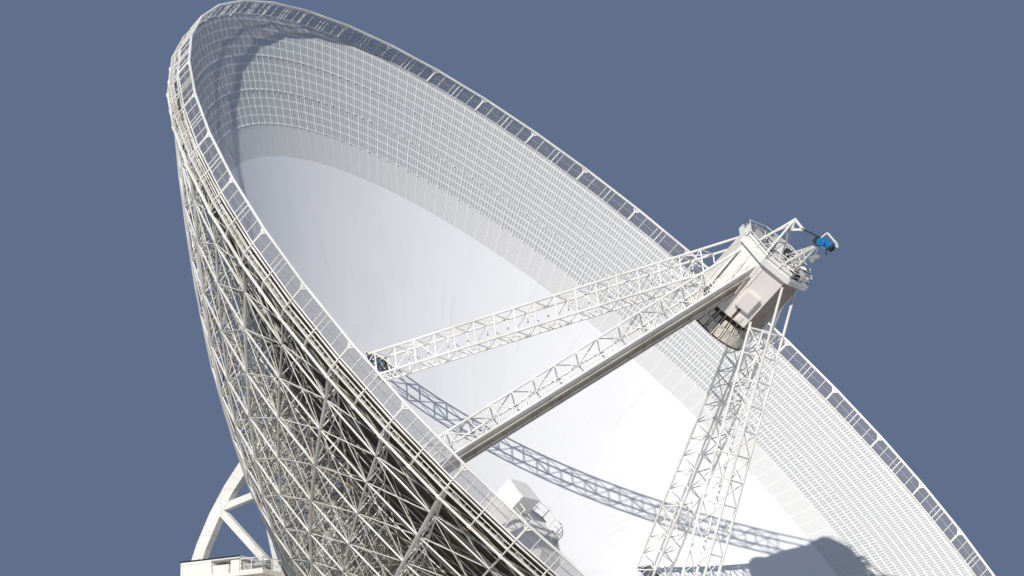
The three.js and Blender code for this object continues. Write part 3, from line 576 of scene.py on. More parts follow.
def skin(name, rows, material, node):
    """Point (i, j) = dish_point(r_i, t_j, paraboloid(r_i)) and UV = (t_j in bays, r_i). The openings for the
    legs stay open, and open edges are marked sharp so that the rim doesn't round the shading."""
    angles = np.arange(SKIN_COLUMNS) * 360 / SKIN_COLUMNS
    points = dish_point(rows[:, None], angles[None, :], surface_height(rows)[:, None])
    i, j = np.meshgrid(np.arange(len(rows) - 1), np.arange(SKIN_COLUMNS), indexing="ij")
    nj = (j + 1) % SKIN_COLUMNS
    quads = np.stack([i + 1, j, i + 1, nj, i, nj, i, j], axis=-1).reshape(-1, 4, 2)
    middle_radius = (rows[i] + rows[i + 1]).ravel() / 2
    middle_angle = ((j + 0.5) * 360 / SKIN_COLUMNS).ravel()
    quads = quads[~at_leg_foot(middle_radius, middle_angle)]
    corners = quads[..., 0] * SKIN_COLUMNS + quads[..., 1]
    thing = piece(name, (points.reshape(-1, 3), [corners]), material, "dish", True, (node,))
    turns = quads[..., 1].astype(float)
    turns[(turns == 0) & (turns.max(axis=1, keepdims=True) > SKIN_COLUMNS / 2)] = SKIN_COLUMNS
    uv = np.stack([turns * BAYS / SKIN_COLUMNS, rows[quads[..., 0]]], axis=-1)
    layer = thing.data.uv_layers.new(name="panels")
    layer.data.foreach_set("uv", uv.reshape(-1))
    edge_of_corner = np.empty(len(thing.data.loops), int)
    thing.data.loops.foreach_get("edge_index", edge_of_corner)
    open_edge = np.bincount(edge_of_corner, minlength=len(thing.data.edges)) == 1
    thing.data.edges.foreach_set("use_edge_sharp", open_edge)
    # The rear faces and the rims get the dark painted shade of the panel backs.
    thing.data.materials.append(back_painted_shade)
    wall = thing.modifiers.new("thickness", "SOLIDIFY")
    wall.thickness = SKIN_THICKNESS * SCALE
    wall.offset = -1.0
    wall.material_offset = 1
    wall.material_offset_rim = 1
    return thing


def panel_paint():
    """Solid panels: a random tone for each panel, and streaks that are long in radius and thin in angle."""
    material, tree, shader, _ = new_material("white_coating_on_smooth_aluminium_panels", 0.55)
    panels = add_node(tree, "UVMap", uv_map="panels")
    tall = add_node(tree, "Mapping", {"Vector": panels, "Scale": (1.0, 0.19, 1.0)})
    cell = add_node(tree, "VectorMath", {0: tall}, operation="FLOOR")
    tone = add_node(tree, "TexWhiteNoise", {"Vector": cell}, noise_dimensions="2D")
    duller = add_node(tree, "MapRange", {0: tone, 1: 0.6, 2: 0.95}, interpolation_type="SMOOTHSTEP")
    plain = add_node(tree, "Mix", {0: duller, 6: colour("#f5f4f2"), 7: colour("#f3f2f0")}, 2,
                     data_type="RGBA")
    thin = add_node(tree, "Mapping", {"Vector": panels, "Scale": (7.0, 0.1, 1.0)})
    runs = add_node(tree, "TexNoise", {"Vector": thin, "Scale": 1.0, "Detail": 4.0})
    streak = add_node(tree, "MapRange", {0: runs, 1: 0.55, 2: 0.95}, interpolation_type="SMOOTHSTEP")
    shade = add_node(tree, "Mix", {0: streak, 6: plain, 7: colour("#e2e3e4")}, 2, data_type="RGBA")
    tree.links.new(shade, shader.inputs["Base Color"])
    return material


ROWS_FROM = 39.77
ROW_DEPTH = 2.49
FIRST_ROW_END = 42.25
FIVE_PANELS_FROM = 44.75


def perforated_paint():
    """Stripes along the radius, rungs across them outside the first row, and a bright border with rounded
    corners round each panel: the distance from the panel's middle, past a rounded rectangle, is the border.
    In the first row the cut corners stay darker, which gives its inner edge small scallops."""
    material, tree, shader, _ = new_material("grey_white_coating_on_perforated_sheet", 0.6)
    panels = add_node(tree, "UVMap", uv_map="panels")
    turn, radius = (add_node(tree, "SeparateXYZ", {0: panels}, axis) for axis in range(2))
    outer = add_node(tree, "Math", {0: radius, 1: FIVE_PANELS_FROM}, operation="GREATER_THAN")
    per_bay = add_node(tree, "Math", {0: outer, 1: 4.0}, operation="ADD")
    turns = add_node(tree, "Math", {0: turn, 1: per_bay}, operation="MULTIPLY")
    along = add_node(tree, "Math", {0: turns}, operation="FRACT")
    rows = add_node(tree, "Math", {0: radius, 1: 1 / ROW_DEPTH, 2: -ROWS_FROM / ROW_DEPTH},
                    operation="MULTIPLY_ADD")
    across = add_node(tree, "Math", {0: rows}, operation="FRACT")
    past_first = add_node(tree, "Math", {0: radius, 1: FIRST_ROW_END}, operation="GREATER_THAN")
    place = add_node(tree, "CombineXYZ", {0: along, 1: across})
    centred = add_node(tree, "VectorMath", {0: place, 1: (0.5, 0.5, 0.0)}, operation="SUBTRACT")
    off = add_node(tree, "VectorMath", {0: centred}, operation="ABSOLUTE")
    past = add_node(tree, "VectorMath", {0: off, 1: (1.0, 1.7, 0.0), 2: (-0.34, -0.7, 0.0)},
                    operation="MULTIPLY_ADD")
    over = add_node(tree, "VectorMath", {0: past, 1: (0.0, 0.0, 0.0)}, operation="MAXIMUM")
    far = add_node(tree, "VectorMath", {0: over}, "Value", operation="LENGTH")
    border = add_node(tree, "MapRange", {0: far, 1: 0.09, 2: 0.14}, interpolation_type="SMOOTHSTEP")
    stripes = add_node(tree, "Math", {0: past_first, 1: -4.0, 2: 8.0}, operation="MULTIPLY_ADD")
    striped = add_node(tree, "Math", {0: along, 1: stripes}, operation="MULTIPLY")
    runged = add_node(tree, "Math", {0: across, 1: 4.0}, operation="MULTIPLY")
    fine = add_node(tree, "CombineXYZ", {0: striped, 1: runged})
    part = add_node(tree, "VectorMath", {0: fine}, operation="FRACTION")
    middle = add_node(tree, "VectorMath", {0: part, 1: (0.5, 0.5, 0.0)}, operation="SUBTRACT")
    edge = add_node(tree, "VectorMath", {0: middle}, operation="ABSOLUTE")
    stripe, rung = (add_node(tree, "SeparateXYZ", {0: edge}, axis) for axis in range(2))
    low = add_node(tree, "Math", {0: past_first, 1: 0.16, 2: 0.16}, operation="MULTIPLY_ADD")
    lines = add_node(tree, "MapRange", {0: stripe, 1: low, 2: 0.42})
    crossing = add_node(tree, "MapRange", {0: rung, 1: 0.36, 2: 0.44, 4: past_first})
    bright = add_node(tree, "Math", {0: lines, 1: crossing}, operation="MAXIMUM")
    sheet = add_node(tree, "Mix", {0: past_first, 6: colour("#d6d4d0"), 7: colour("#bebebc")}, 2,
                     data_type="RGBA")
    infill = add_node(tree, "Mix", {0: bright, 6: sheet, 7: colour("#efeeea")}, 2, data_type="RGBA")
    framed = add_node(tree, "Mix", {0: border, 6: infill, 7: colour("#efeeea")}, 2, data_type="RGBA")
    in_first = add_node(tree, "Math", {0: past_first, 1: -1.0, 2: 1.0}, operation="MULTIPLY_ADD")
    corner = add_node(tree, "MapRange", {0: far, 1: 0.165, 2: 0.195, 4: in_first})
    shade = add_node(tree, "Mix", {0: corner, 6: framed, 7: colour("#b4b4b1")}, 2, data_type="RGBA")
    relief = add_node(tree, "Math", {0: bright, 1: border}, operation="MAXIMUM")
    bump = add_node(tree, "Bump", {"Strength": 0.3, "Distance": 0.003, "Height": relief})
    tree.links.new(shade, shader.inputs["Base Color"])
    tree.links.new(bump, shader.inputs["Normal"])
    return material


skin("smooth_reflector_skin", SOLID_ROWS, panel_paint(), "solid_reflector_panels")
skin("perforated_reflector_skin", OUTER_ROWS, perforated_paint(), "perforated_reflector_panels")

# %% [markdown]
# The perforated panels sit in slim white frames: four panels to a bay in the two inner rows, five in the two
# outer ones. In the first row the paint alone shows them. From the second row out the frame bars are real
# bars that stand a little proud, with a small cover plate on each crossing, which is what reads as a row of
# bright beads from the ground.

# %% Panel frames
FRAMED_ROWS = ((FIRST_ROW_END, FIVE_PANELS_FROM, 4), (FIVE_PANELS_FROM, 47.2, 5), (47.2, 49.9, 5))
FRAME_WIDTH = 0.07
FRAME_PROUD = 0.02
COVER_RADIUS = 0.15


def on_surface(radius, degrees, lift):
    """A point of the paraboloid, lifted a little off it along the dish axis."""
    return dish_point(np.broadcast_to(float(radius), degrees.shape), degrees, surface_height(radius) + lift)


def panel_frames():
    """For each row of panels: a ring bar, radial bars at every joint, eight-sided covers on the crossings."""
    parts = []
    for inner, outer, panels in FRAMED_ROWS:
        angles = np.arange(BAYS * panels) * 360 / (BAYS * panels)
        low, high = on_surface(inner, angles, FRAME_PROUD / 2), on_surface(outer, angles, FRAME_PROUD / 2)
        parts.append(beams(low, high, FRAME_WIDTH, FRAME_PROUD, hint=DISH_AXIS))
        parts.append(beams(*linked(low, True), FRAME_WIDTH, FRAME_PROUD, hint=DISH_AXIS))
        parts.append(bars(low, on_surface(inner, angles, FRAME_PROUD * 1.7), COVER_RADIUS, 8))
    return joined(*parts)


piece("perforated_panel_frames", panel_frames(), frame_white)

# %% [markdown]
# The rim carries a collar, a railing-like wind screen 1.5 m high: a top tube, a middle rail, a thick post at
# each bay joint, groups of thin ones between, and fine wire mesh that only dims what lies behind it.

# %% Rim collar
COLLAR_RADIUS = 50.2
COLLAR_BOTTOM = 29.33
COLLAR_TOP = 30.79
THIN_POSTS = (0.2, 0.42, 0.58, 0.8)
joint_angles = np.arange(BAYS) * BAY


def rim_ring(radius, height):
    """Corner points of a ring with one straight side per bay."""
    return dish_point(np.full(BAYS, float(radius)), joint_angles, height)


def part_way(radius, part, height):
    """A point part of the way along each straight side of such a ring."""
    ring = rim_ring(radius, height)
    return ring * (1 - part) + np.roll(ring, -1, axis=0) * part


def collar_posts(part, thickness, sides):
    """One post in each bay, part of the way along it."""
    return bars(part_way(COLLAR_RADIUS, part, COLLAR_BOTTOM), part_way(COLLAR_RADIUS, part, COLLAR_TOP),
                thickness, sides)


def collar():
    """Top and bottom tubes, posts, and two short braces that make the gusset under each main joint."""
    top, bottom = rim_ring(COLLAR_RADIUS, COLLAR_TOP), rim_ring(COLLAR_RADIUS, COLLAR_BOTTOM)
    parts = [bars(*linked(top, True), 0.12, 8), bars(*linked(bottom, True), 0.07, 6),
             bars(bottom, top, 0.11, 8), collar_posts(0.5, 0.06, 6)]
    parts += [collar_posts(part, 0.045, 5) for part in THIN_POSTS]
    knee = rim_ring(COLLAR_RADIUS, COLLAR_TOP - 0.45)
    for part, foot in ((0.06, knee), (0.94, np.roll(knee, -1, axis=0))):
        parts.append(bars(foot, part_way(COLLAR_RADIUS, part, COLLAR_TOP - 0.03), 0.08, 5))
    return joined(*parts)


def mesh_screen(name, bottom, top, material):
    """A flat pane per bay between two rings, made a few centimetres thick."""
    k = np.arange(BAYS)
    quads = np.stack([k, (k + 1) % BAYS, (k + 1) % BAYS + BAYS, k + BAYS], axis=1)
    thing = piece(name, (np.concatenate([bottom, top]), [quads]), material)
    wall = thing.modifiers.new("thickness", "SOLIDIFY")
    wall.thickness = 0.03 * SCALE
    return thing


piece("collar_tubes_and_posts", collar(), lattice_white, replaces=("rim_collar",))
# The middle rail is coated grey as a painted shade: the grey stands in for the shade that the rail lies in.
mid_rail = rim_ring(COLLAR_RADIUS, (COLLAR_BOTTOM + COLLAR_TOP) / 2)
piece("collar_middle_rail_in_painted_shade", bars(*linked(mid_rail, True), 0.045, 6), shaft_grey)
mesh_screen("collar_wire_screen", rim_ring(COLLAR_RADIUS, COLLAR_BOTTOM), rim_ring(COLLAR_RADIUS, COLLAR_TOP),
            screen_wire)

# %% [markdown]
# Under the rim a walkway runs all the way round, seen as two thin rails with short posts, and below it the
# outermost ring chord, a thick tube with a sleeve where each rib meets it.

# %% Rim walkway and outer ring chord
WALKWAY_RADIUS = 50.28
WALKWAY_FLOOR = 28.3
WALKWAY_RAIL = 28.72
CHORD_RADIUS = 49.7
CHORD_HEIGHT = 27.35


def rim_walkway():
    """Rails at two heights with a post at every tenth of a bay, a tread strip, and struts to the chord."""
    high, low = rim_ring(WALKWAY_RADIUS, WALKWAY_RAIL), rim_ring(WALKWAY_RADIUS, WALKWAY_FLOOR)
    parts = [bars(*linked(high, True), 0.035, 5), bars(*linked(low, True), 0.04, 5)]
    for part in np.arange(10) / 10:
        parts.append(bars(part_way(WALKWAY_RADIUS, part, WALKWAY_FLOOR),
                          part_way(WALKWAY_RADIUS, part, WALKWAY_RAIL), 0.025, 4))
    for part in (0.0, 0.5):
        foot = part_way(WALKWAY_RADIUS, part, WALKWAY_FLOOR)
        parts.append(bars(foot, part_way(COLLAR_RADIUS, part, COLLAR_BOTTOM), 0.06, 6))
        parts.append(bars(foot, part_way(CHORD_RADIUS, part, CHORD_HEIGHT), 0.07, 6))
    parts.append(flat_ring(49.75, WALKWAY_RADIUS, 28.22, 28.28, BAYS))
    return joined(*parts)


def outer_chord():
    """A thick tube through the rib ends with a sleeve round each joint, and the rim tube over it."""
    parts = [bars(*linked(rim_ring(CHORD_RADIUS, CHORD_HEIGHT), True), 0.11, 8)]
    for part in (0.0, 0.5):
        here = part_way(CHORD_RADIUS, part, CHORD_HEIGHT)
        parts.append(bars(part_way(CHORD_RADIUS, part - 0.03, CHORD_HEIGHT),
                          part_way(CHORD_RADIUS, part + 0.03, CHORD_HEIGHT), 0.16, 8))
        parts.append(bars(here, part_way(50.05, part, 28.9), 0.06, 6))
    parts.append(bars(*linked(rim_ring(50.08, 29.05), True), 0.09, 8))
    return joined(*parts)


piece("rim_walkway", rim_walkway(), lattice_white)
piece("outer_ring_chord", outer_chord(), lattice_white)

# %% [markdown]
# Behind the skin stands the space frame: 24 main truss ribs, 24 lighter ones between them, rings at every
# node and crossing braces in each field. The radii of a rib's nodes are given once. Its lower edge follows a
# profile of its own and its upper edge the skin; a middle layer between them breaks up the deep inner fields.

# %% Backing structure
NODE_RADII = np.array([5.9, 9.6, 13.4, 17.3, 21.3, 25.2, 29.2, 33.1, 37.0, 40.8, 44.4, 47.2, 49.4])
LOWER_PROFILE = np.array([[5.8, -3.2], [14.0, -1.0], [20.0, 2.6], [26.0, 6.3], [32.0, 10.7], [38.0, 15.9],
                          [44.0, 21.8], [48.5, 26.6], [49.7, 27.5]])
node_lower = np.interp(NODE_RADII, LOWER_PROFILE[:, 0], LOWER_PROFILE[:, 1])
node_upper = surface_height(NODE_RADII) - SKIN_THICKNESS - 0.2
node_middle = (node_lower + node_upper) / 2
light_angles = np.arange(BAYS // 2) * 2 * BAY
main_angles = BAY + light_angles
DEEP = slice(2, 10)
BRACE_RADIUS = 0.044
PURLIN_DROP = 0.42
PURLIN_SPACING = 1.35


def node_grid(angles, heights):
    """Points (rib, node) for all ribs at once."""
    return dish_point(NODE_RADII[None, :], angles[:, None], heights[None, :])


def rib_bars(angles, lower_chord, upper_chord, web):
    """Chords, posts and a diagonal in each field, and two lighter half diagonals to the middle layer."""
    low, high, half = (node_grid(angles, heights) for heights in (node_lower, node_upper, node_middle))
    return joined(bars(low[:, :-1], low[:, 1:], lower_chord, 7),
                  bars(high[:, :-1], high[:, 1:], upper_chord, 5), bars(low, high, web, 5),
                  bars(low[:, :-1], high[:, 1:], web, 5),
                  bars(half[:, DEEP][:, :-1], half[:, DEEP][:, 1:], web * 0.8, 4),
                  bars(high[:, :-1], half[:, 1:], web * 0.7, 4), bars(half[:, :-1], low[:, 1:], web * 0.7, 4))


def ring_bars(radius_of_bar, heights, keep=slice(None)):
    """Straight ring chords between neighbouring ribs, at every node radius or at those to keep."""
    grid = node_grid(joint_angles, heights)[:, keep]
    return bars(grid, np.roll(grid, -1, axis=0), radius_of_bar, 5)


def net_braces():
    """Both diagonals of each field of the lower net, one of the upper net."""
    low, high = node_grid(joint_angles, node_lower), node_grid(joint_angles, node_upper)
    next_low, next_high = np.roll(low, -1, axis=0), np.roll(high, -1, axis=0)
    return joined(bars(low[:, :-1], next_low[:, 1:], BRACE_RADIUS, 4),
                  bars(next_low[:, :-1], low[:, 1:], BRACE_RADIUS, 4),
                  bars(high[:, :-1], next_high[:, 1:], BRACE_RADIUS * 0.8, 4))


def wall_braces():
    """Crossing bars in the ring walls, from each lower node to the next rib's upper and middle nodes."""
    low, high = node_grid(joint_angles, node_lower), node_grid(joint_angles, node_upper)
    half = node_grid(joint_angles, node_middle)
    next_low, next_high, next_half = (np.roll(grid, -1, axis=0) for grid in (low, high, half))
    return joined(bars(low, next_high, BRACE_RADIUS, 4), bars(next_low, high, BRACE_RADIUS, 4),
                  bars(half[:, DEEP], next_low[:, DEEP], BRACE_RADIUS * 0.8, 4),
                  bars(next_half[:, DEEP], low[:, DEEP], BRACE_RADIUS * 0.8, 4))


def purlins():
    """Thin rings right under the skin, at even steps of radius, that carry the panel edges."""
    radii = np.arange(7.0, 49.5, PURLIN_SPACING)
    grid = dish_point(radii[None, :], joint_angles[:, None], surface_height(radii)[None, :] - PURLIN_DROP)
    return bars(grid, np.roll(grid, -1, axis=0), 0.045, 4)


piece("main_ribs", rib_bars(main_angles, 0.15, 0.1, 0.07), lattice_white,
      replaces=tuple(f"backing_sector_{n}" for n in range(1, 7)))
piece("light_ribs", rib_bars(light_angles, 0.09, 0.065, 0.048), lattice_white)
piece("ring_chords", joined(ring_bars(0.085, node_lower), ring_bars(0.055, node_upper),
                            ring_bars(0.05, node_middle, DEEP)), lattice_white)
piece("net_braces", net_braces(), lattice_white)
# The wall braces and the purlins carry the darker cream, a painted shade for the depth of the lattice.
piece("ring_wall_braces", wall_braces(), brace_cream_painted_shade)
piece("panel_purlins", purlins(), brace_cream_painted_shade)

# %% [markdown]
# Four lattice legs carry the focus cabin. Each is a square of four tubes with a post at every node and a
# diagonal in every field, so it throws a crisp net of shadow across the bowl.

# %% Feed legs
LEG_SIDE = 2.4
LEG_NODES = 18
CABIN_HALF = 3.2
LEG_FOOT = np.array([23.7, 11.2])
LEG_HEAD = np.array([2.2, 46.04])
LEG_LENGTH = np.linalg.norm(LEG_HEAD - LEG_FOOT)
LEG_ALONG = (LEG_HEAD - LEG_FOOT) / LEG_LENGTH
LEG_NORMAL = np.array([LEG_ALONG[1], -LEG_ALONG[0]])
LEG_HALF = LEG_SIDE / 2 - 0.13
LEG_CORNERS = [(a * LEG_HALF, b * LEG_HALF) for a, b in ((1, 1), (-1, 1), (-1, -1), (1, -1))]


def leg_point(degrees, part, side, out):
    """part of the way along the leg (r, a), then side metres along the tangent and out metres outwards."""
    part, side, out = np.broadcast_arrays(np.asarray(part, float), side, out)
    radius = LEG_FOOT[0] + (LEG_HEAD - LEG_FOOT)[0] * part + out * LEG_NORMAL[0]
    height = LEG_FOOT[1] + (LEG_HEAD - LEG_FOOT)[1] * part + out * LEG_NORMAL[1]
    angle = np.radians(degrees)
    return dish_local(radius * np.sin(angle) + side * np.cos(angle),
                      radius * np.cos(angle) - side * np.sin(angle), height)


def head_part(out):
    """How far a line out metres off the leg's middle runs before it meets the cabin's wall."""
    return (LEG_FOOT[0] + out * LEG_NORMAL[0] - CABIN_HALF) / (LEG_FOOT[0] - LEG_HEAD[0])


def feed_leg(degrees):
    """Chords to the cabin wall, a frame of posts at each node, alternating diagonals on the four faces."""
    parts = [bars(leg_point(degrees, 0.0, side, out), leg_point(degrees, head_part(out), side, out), 0.12, 8)
             for side, out in LEG_CORNERS]
    steps = np.linspace(0.004, head_part(-LEG_HALF) - 0.012, LEG_NODES)
    grid = [leg_point(degrees, steps, side, out) for side, out in LEG_CORNERS]
    flip = (np.arange(LEG_NODES - 1) % 2 == 0)[:, None]
    for here, there in zip(grid, grid[1:] + grid[:1]):
        starts, ends = np.where(flip, here[:-1], there[:-1]), np.where(flip, there[1:], here[1:])
        parts += [bars(here, there, 0.06, 6), bars(starts, ends, 0.05, 5)]
    return joined(*parts)


for leg_name, leg_degrees in (("upper", 0.0), ("right", 90.0), ("lower", 180.0), ("left", 270.0)):
    piece(f"{leg_name}_leg_lattice", feed_leg(leg_degrees), lattice_white, replaces=(f"{leg_name}_feed_leg",))

# %% [markdown]
# The right leg is also the way up to the cabin: a closed tray carries the steps, a ribbed liner shields the
# cables on its inner side, and two pipes run below. The tray's underside is what is seen from the ground.

# %% Walkway in the right leg
TRAY_START = 0.012
TRAY_END = 0.93
TRAY_SIDE = LEG_HALF + 0.02
RAIL_OUT = LEG_HALF - 0.2
PIPE_SIDE = LEG_HALF + 0.3
TRAY_STRIP = 0.51
TRAY_STRIPS = np.array([-1.5, -0.5, 0.5]) * TRAY_STRIP
EDGE_STRIP = 1.5 * TRAY_STRIP
RIGHT = 90.0
SIDEWAYS = leg_point(RIGHT, 0, 1, 0) - leg_point(RIGHT, 0, 0, 0)
OUTWARDS = leg_point(RIGHT, 0, 0, 1) - leg_point(RIGHT, 0, 0, 0)
liner_lines = np.linspace(LEG_HALF - 0.1, -0.15, 13)


def along_right_leg(side, out):
    """The ends of a line that keeps its place in the leg's cross section and runs on to the cabin's wall."""
    return leg_point(RIGHT, TRAY_START, side, out), leg_point(RIGHT, head_part(np.asarray(out)), side, out)


def across_right_leg(parts, side, out):
    """The ends of short bars across the leg; side and out are a pair, or one value for both ends."""
    return [leg_point(RIGHT, parts, s, o) for s, o in zip(np.broadcast_to(side, 2), np.broadcast_to(out, 2))]


def walkway_tray():
    """A flat box of strips between the two lower chords, with stiffening ribs across its underside."""
    steps = np.linspace(0.02, TRAY_END - 0.01, 40)
    return joined(beams(*along_right_leg(TRAY_SIDE, TRAY_STRIPS), TRAY_STRIP, 0.14, hint=SIDEWAYS),
                  beams(*across_right_leg(steps, LEG_HALF + 0.1, (-LEG_HALF, 0.5)), 0.08, 0.08))


def leg_liner():
    """Ribbed sheet on the inner side: round ribs side by side along the leg over a thin plate."""
    ribs = [bars(*along_right_leg(line, -LEG_HALF + 0.16), 0.05, 5) for line in liner_lines]
    middle, width = (liner_lines[0] + liner_lines[-1]) / 2, liner_lines[0] - liner_lines[-1]
    return joined(beams(*along_right_leg(middle, -LEG_HALF + 0.12), width, 0.05, hint=OUTWARDS), *ribs)


def leg_handrails():
    """Two rails on posts inside the outer face, and the steps between them."""
    posts, steps = np.linspace(0.02, TRAY_END - 0.02, 52), np.linspace(0.02, TRAY_END - 0.02, 120)
    rails = [bars(*along_right_leg(side, RAIL_OUT), 0.035, 5) for side in (0.1, 0.6)]
    return joined(bars(*across_right_leg(posts, (0.1, LEG_HALF), RAIL_OUT), 0.03, 4),
                  beams(*across_right_leg(steps, RAIL_OUT, (-0.7, 0.7)), 0.22, 0.04), *rails)


def leg_pipes():
    """Two cable pipes under the tray, held by short hangers."""
    hangers = np.linspace(0.03, TRAY_END - 0.03, 24)
    parts = []
    for out in (-0.5, 0.55):
        parts.append(bars(*along_right_leg(PIPE_SIDE, out), 0.09, 8))
        parts.append(bars(*across_right_leg(hangers, (LEG_HALF, PIPE_SIDE), out), 0.04, 4))
    return joined(*parts)


tray_edge = beams(*along_right_leg(TRAY_SIDE, EDGE_STRIP), TRAY_STRIP, 0.14, hint=SIDEWAYS)
piece("leg_walkway_tray", walkway_tray(), tray_grey)
piece("leg_tray_edge", tray_edge, lattice_white)
piece("leg_ribbed_liner", leg_liner(), lattice_white)
piece("leg_handrails_and_steps", leg_handrails(), lattice_white)
piece("leg_cable_pipes", leg_pipes(), tray_grey)

# %% [markdown]
# The focus cabin is an eight-sided room of insulated sheet cladding. Each side gets its own raised sheets
# with corner trims, so the low sun draws the joints. The side towards the right leg is white, the lowest one
# brownish grey, a painted shade, the others beige. A hatch box stands out of one side, over the slot of a
# cable duct.

# %% Prime focus cabin
CABIN_BOTTOM = 41.6
CABIN_TOP = 47.0
FIRST_CORNER = 22.5
CORNER_COSINE = np.cos(np.radians(FIRST_CORNER))
CORNER_TANGENT = np.tan(np.radians(FIRST_CORNER))
WHITE_FACE = 90.0
HATCH_FACE = 135.0
LOWEST_FACE = 180.0
DOOR_FACE = 45.0
LOUVRE_FACE = 225.0
LADDER_FACE = 315.0
BEIGE_FACES = (0.0, 45.0, 225.0, 270.0, 315.0)
SHEET_HALF = CABIN_HALF * CORNER_TANGENT - 0.08
SHEET_DEPTH = (CABIN_HALF - 0.11, CABIN_HALF - 0.02)
SHEET_HEIGHT = (CABIN_BOTTOM + 0.06, CABIN_TOP - 0.08)
JOINT_HALF = 0.015
HATCH_BOTTOM = 42.82


def octagon(half_flats, low, high):
    """A straight eight-sided drum: corner radius = half the flats / cos 22.5 degrees."""
    radius = half_flats / CORNER_COSINE
    return drum([(radius, low), (radius, high)], 8, FIRST_CORNER)


def octagon_corners(half_flats, height):
    """The corners of an eight-sided line round the dish axis."""
    return dish_point(half_flats / CORNER_COSINE, FIRST_CORNER + np.arange(8) * 45.0, height)


def cladding(degrees):
    """Two raised sheets with a joint between them on one side of the cabin."""
    return joined(face_block(degrees, SHEET_DEPTH, (-SHEET_HALF, -JOINT_HALF), SHEET_HEIGHT),
                  face_block(degrees, SHEET_DEPTH, (JOINT_HALF, SHEET_HALF), SHEET_HEIGHT))


def cabin_trims():
    """Corner posts and the rings at the top and the bottom of the walls."""
    low, high = (octagon_corners(CABIN_HALF - 0.1, z) for z in (CABIN_BOTTOM + 0.05, CABIN_TOP - 0.05))
    return joined(bars(low, high, 0.09, 6), beams(*linked(low, True), 0.12, 0.1, hint=DISH_AXIS),
                  beams(*linked(high, True), 0.12, 0.1, hint=DISH_AXIS))


def hatch():
    """A box with a lid standing proud of it, a handle, an upright strip beside it and a small box below."""
    boxes = (((-0.1, 0.36), (-0.72, 0.72), (HATCH_BOTTOM, 44.48)),
             ((0.36, 0.41), (-0.64, 0.64), (42.9, 44.4)),
             ((0.41, 0.44), (-0.1, 0.1), (43.05, 43.1)),
             ((-0.03, 0.03), (-0.95, -0.85), (41.7, 46.9)),
             ((-0.03, 0.06), (0.3, 0.75), (41.75, 42.3)))
    return joined(*(face_block(HATCH_FACE, (CABIN_HALF + near, CABIN_HALF + far), side, height)
                    for (near, far), side, height in boxes))


def cabin_fittings():
    """Door and louvres on the hidden sides, a ladder on one of them."""
    out = CABIN_HALF - 0.02
    slats = [face_block(LOUVRE_FACE, (out, out + 0.06), (-0.7, 0.7), (z, z + 0.07))
             for z in np.arange(44.2, 45.8, 0.16)]
    rungs = [face_block(LADDER_FACE, (out + 0.1, out + 0.14), (-0.25, 0.25), (z, z + 0.04))
             for z in np.arange(42.0, 46.8, 0.3)]
    rails = [face_block(LADDER_FACE, (out, out + 0.14), (s, s + 0.05), (41.8, 46.9)) for s in (-0.28, 0.23)]
    door = face_block(DOOR_FACE, (out, out + 0.06), (-0.45, 0.45), (41.9, 44.0))
    return joined(door, *slats, *rungs, *rails)


hatch_sheet = face_block(HATCH_FACE, SHEET_DEPTH, (-SHEET_HALF, SHEET_HALF), SHEET_HEIGHT)
duct_slot = face_block(HATCH_FACE, (CABIN_HALF - 0.1, CABIN_HALF + 0.005), (-0.12, 0.12),
                       (41.66, HATCH_BOTTOM))
beige_sheets = joined(*(cladding(turn) for turn in BEIGE_FACES), hatch_sheet, hatch())
piece("cabin_core", octagon(CABIN_HALF - 0.1, CABIN_BOTTOM, CABIN_TOP), recess_brown,
      replaces=("prime_focus_cabin",))
piece("cabin_beige_cladding", beige_sheets, cabin_beige)
piece("cabin_white_cladding", cladding(WHITE_FACE), cabin_white)
piece("cabin_trims_and_fittings", joined(cabin_trims(), cabin_fittings()), cabin_beige)
piece("cabin_duct_slot", duct_slot, recess_brown)
# The lowest side's cladding is brownish grey, a painted shade.
piece("cabin_lower_cladding_in_painted_shade", cladding(LOWEST_FACE), cabin_shade)

# %% [markdown]
# Below the cabin hangs the subreflector, a bowl of cream segments in rings. The gaps between the segments are
# deep and brown, and radial ribs hold the rim; all of this faces the ground and is seen well from there.

# %% Subreflector
BOWL_DEPTH = 2.3
SEGMENTS = 24
BOWL_RIM = 3.25
segment_turns = np.arange(SEGMENTS) * 360.0 / SEGMENTS


def segment_tier(inner, outer, low_height, high_height, share):
    """Flat plates on a cone: each fills a share of its step in angle between two radii."""
    width = 2 * np.pi * (inner + outer) / 2 / SEGMENTS * share
    outward = dish_point(1.0, segment_turns, 0.0) - dish_local(0, 0, 0)
    return beams(dish_point(inner, segment_turns, high_height), dish_point(outer, segment_turns, low_height),
                 width, 0.08, hint=outward + DISH_AXIS * 0.5)


def bowl_ribs():
    """Radial ribs from the cabin's foot to the rim, bent at a step ring half way down."""
    turns, fine = segment_turns + 180.0 / SEGMENTS, np.arange(40) * 9.0
    step = dish_point(2.92, turns, CABIN_BOTTOM - 1.2)
    return joined(bars(dish_point(2.3, turns, CABIN_BOTTOM - 0.05), step, 0.045, 5),
                  bars(step, dish_point(3.18, turns, CABIN_BOTTOM - 2.2), 0.045, 5),
                  bars(*linked(dish_point(2.9, fine, CABIN_BOTTOM - 1.2), True), 0.05, 5))


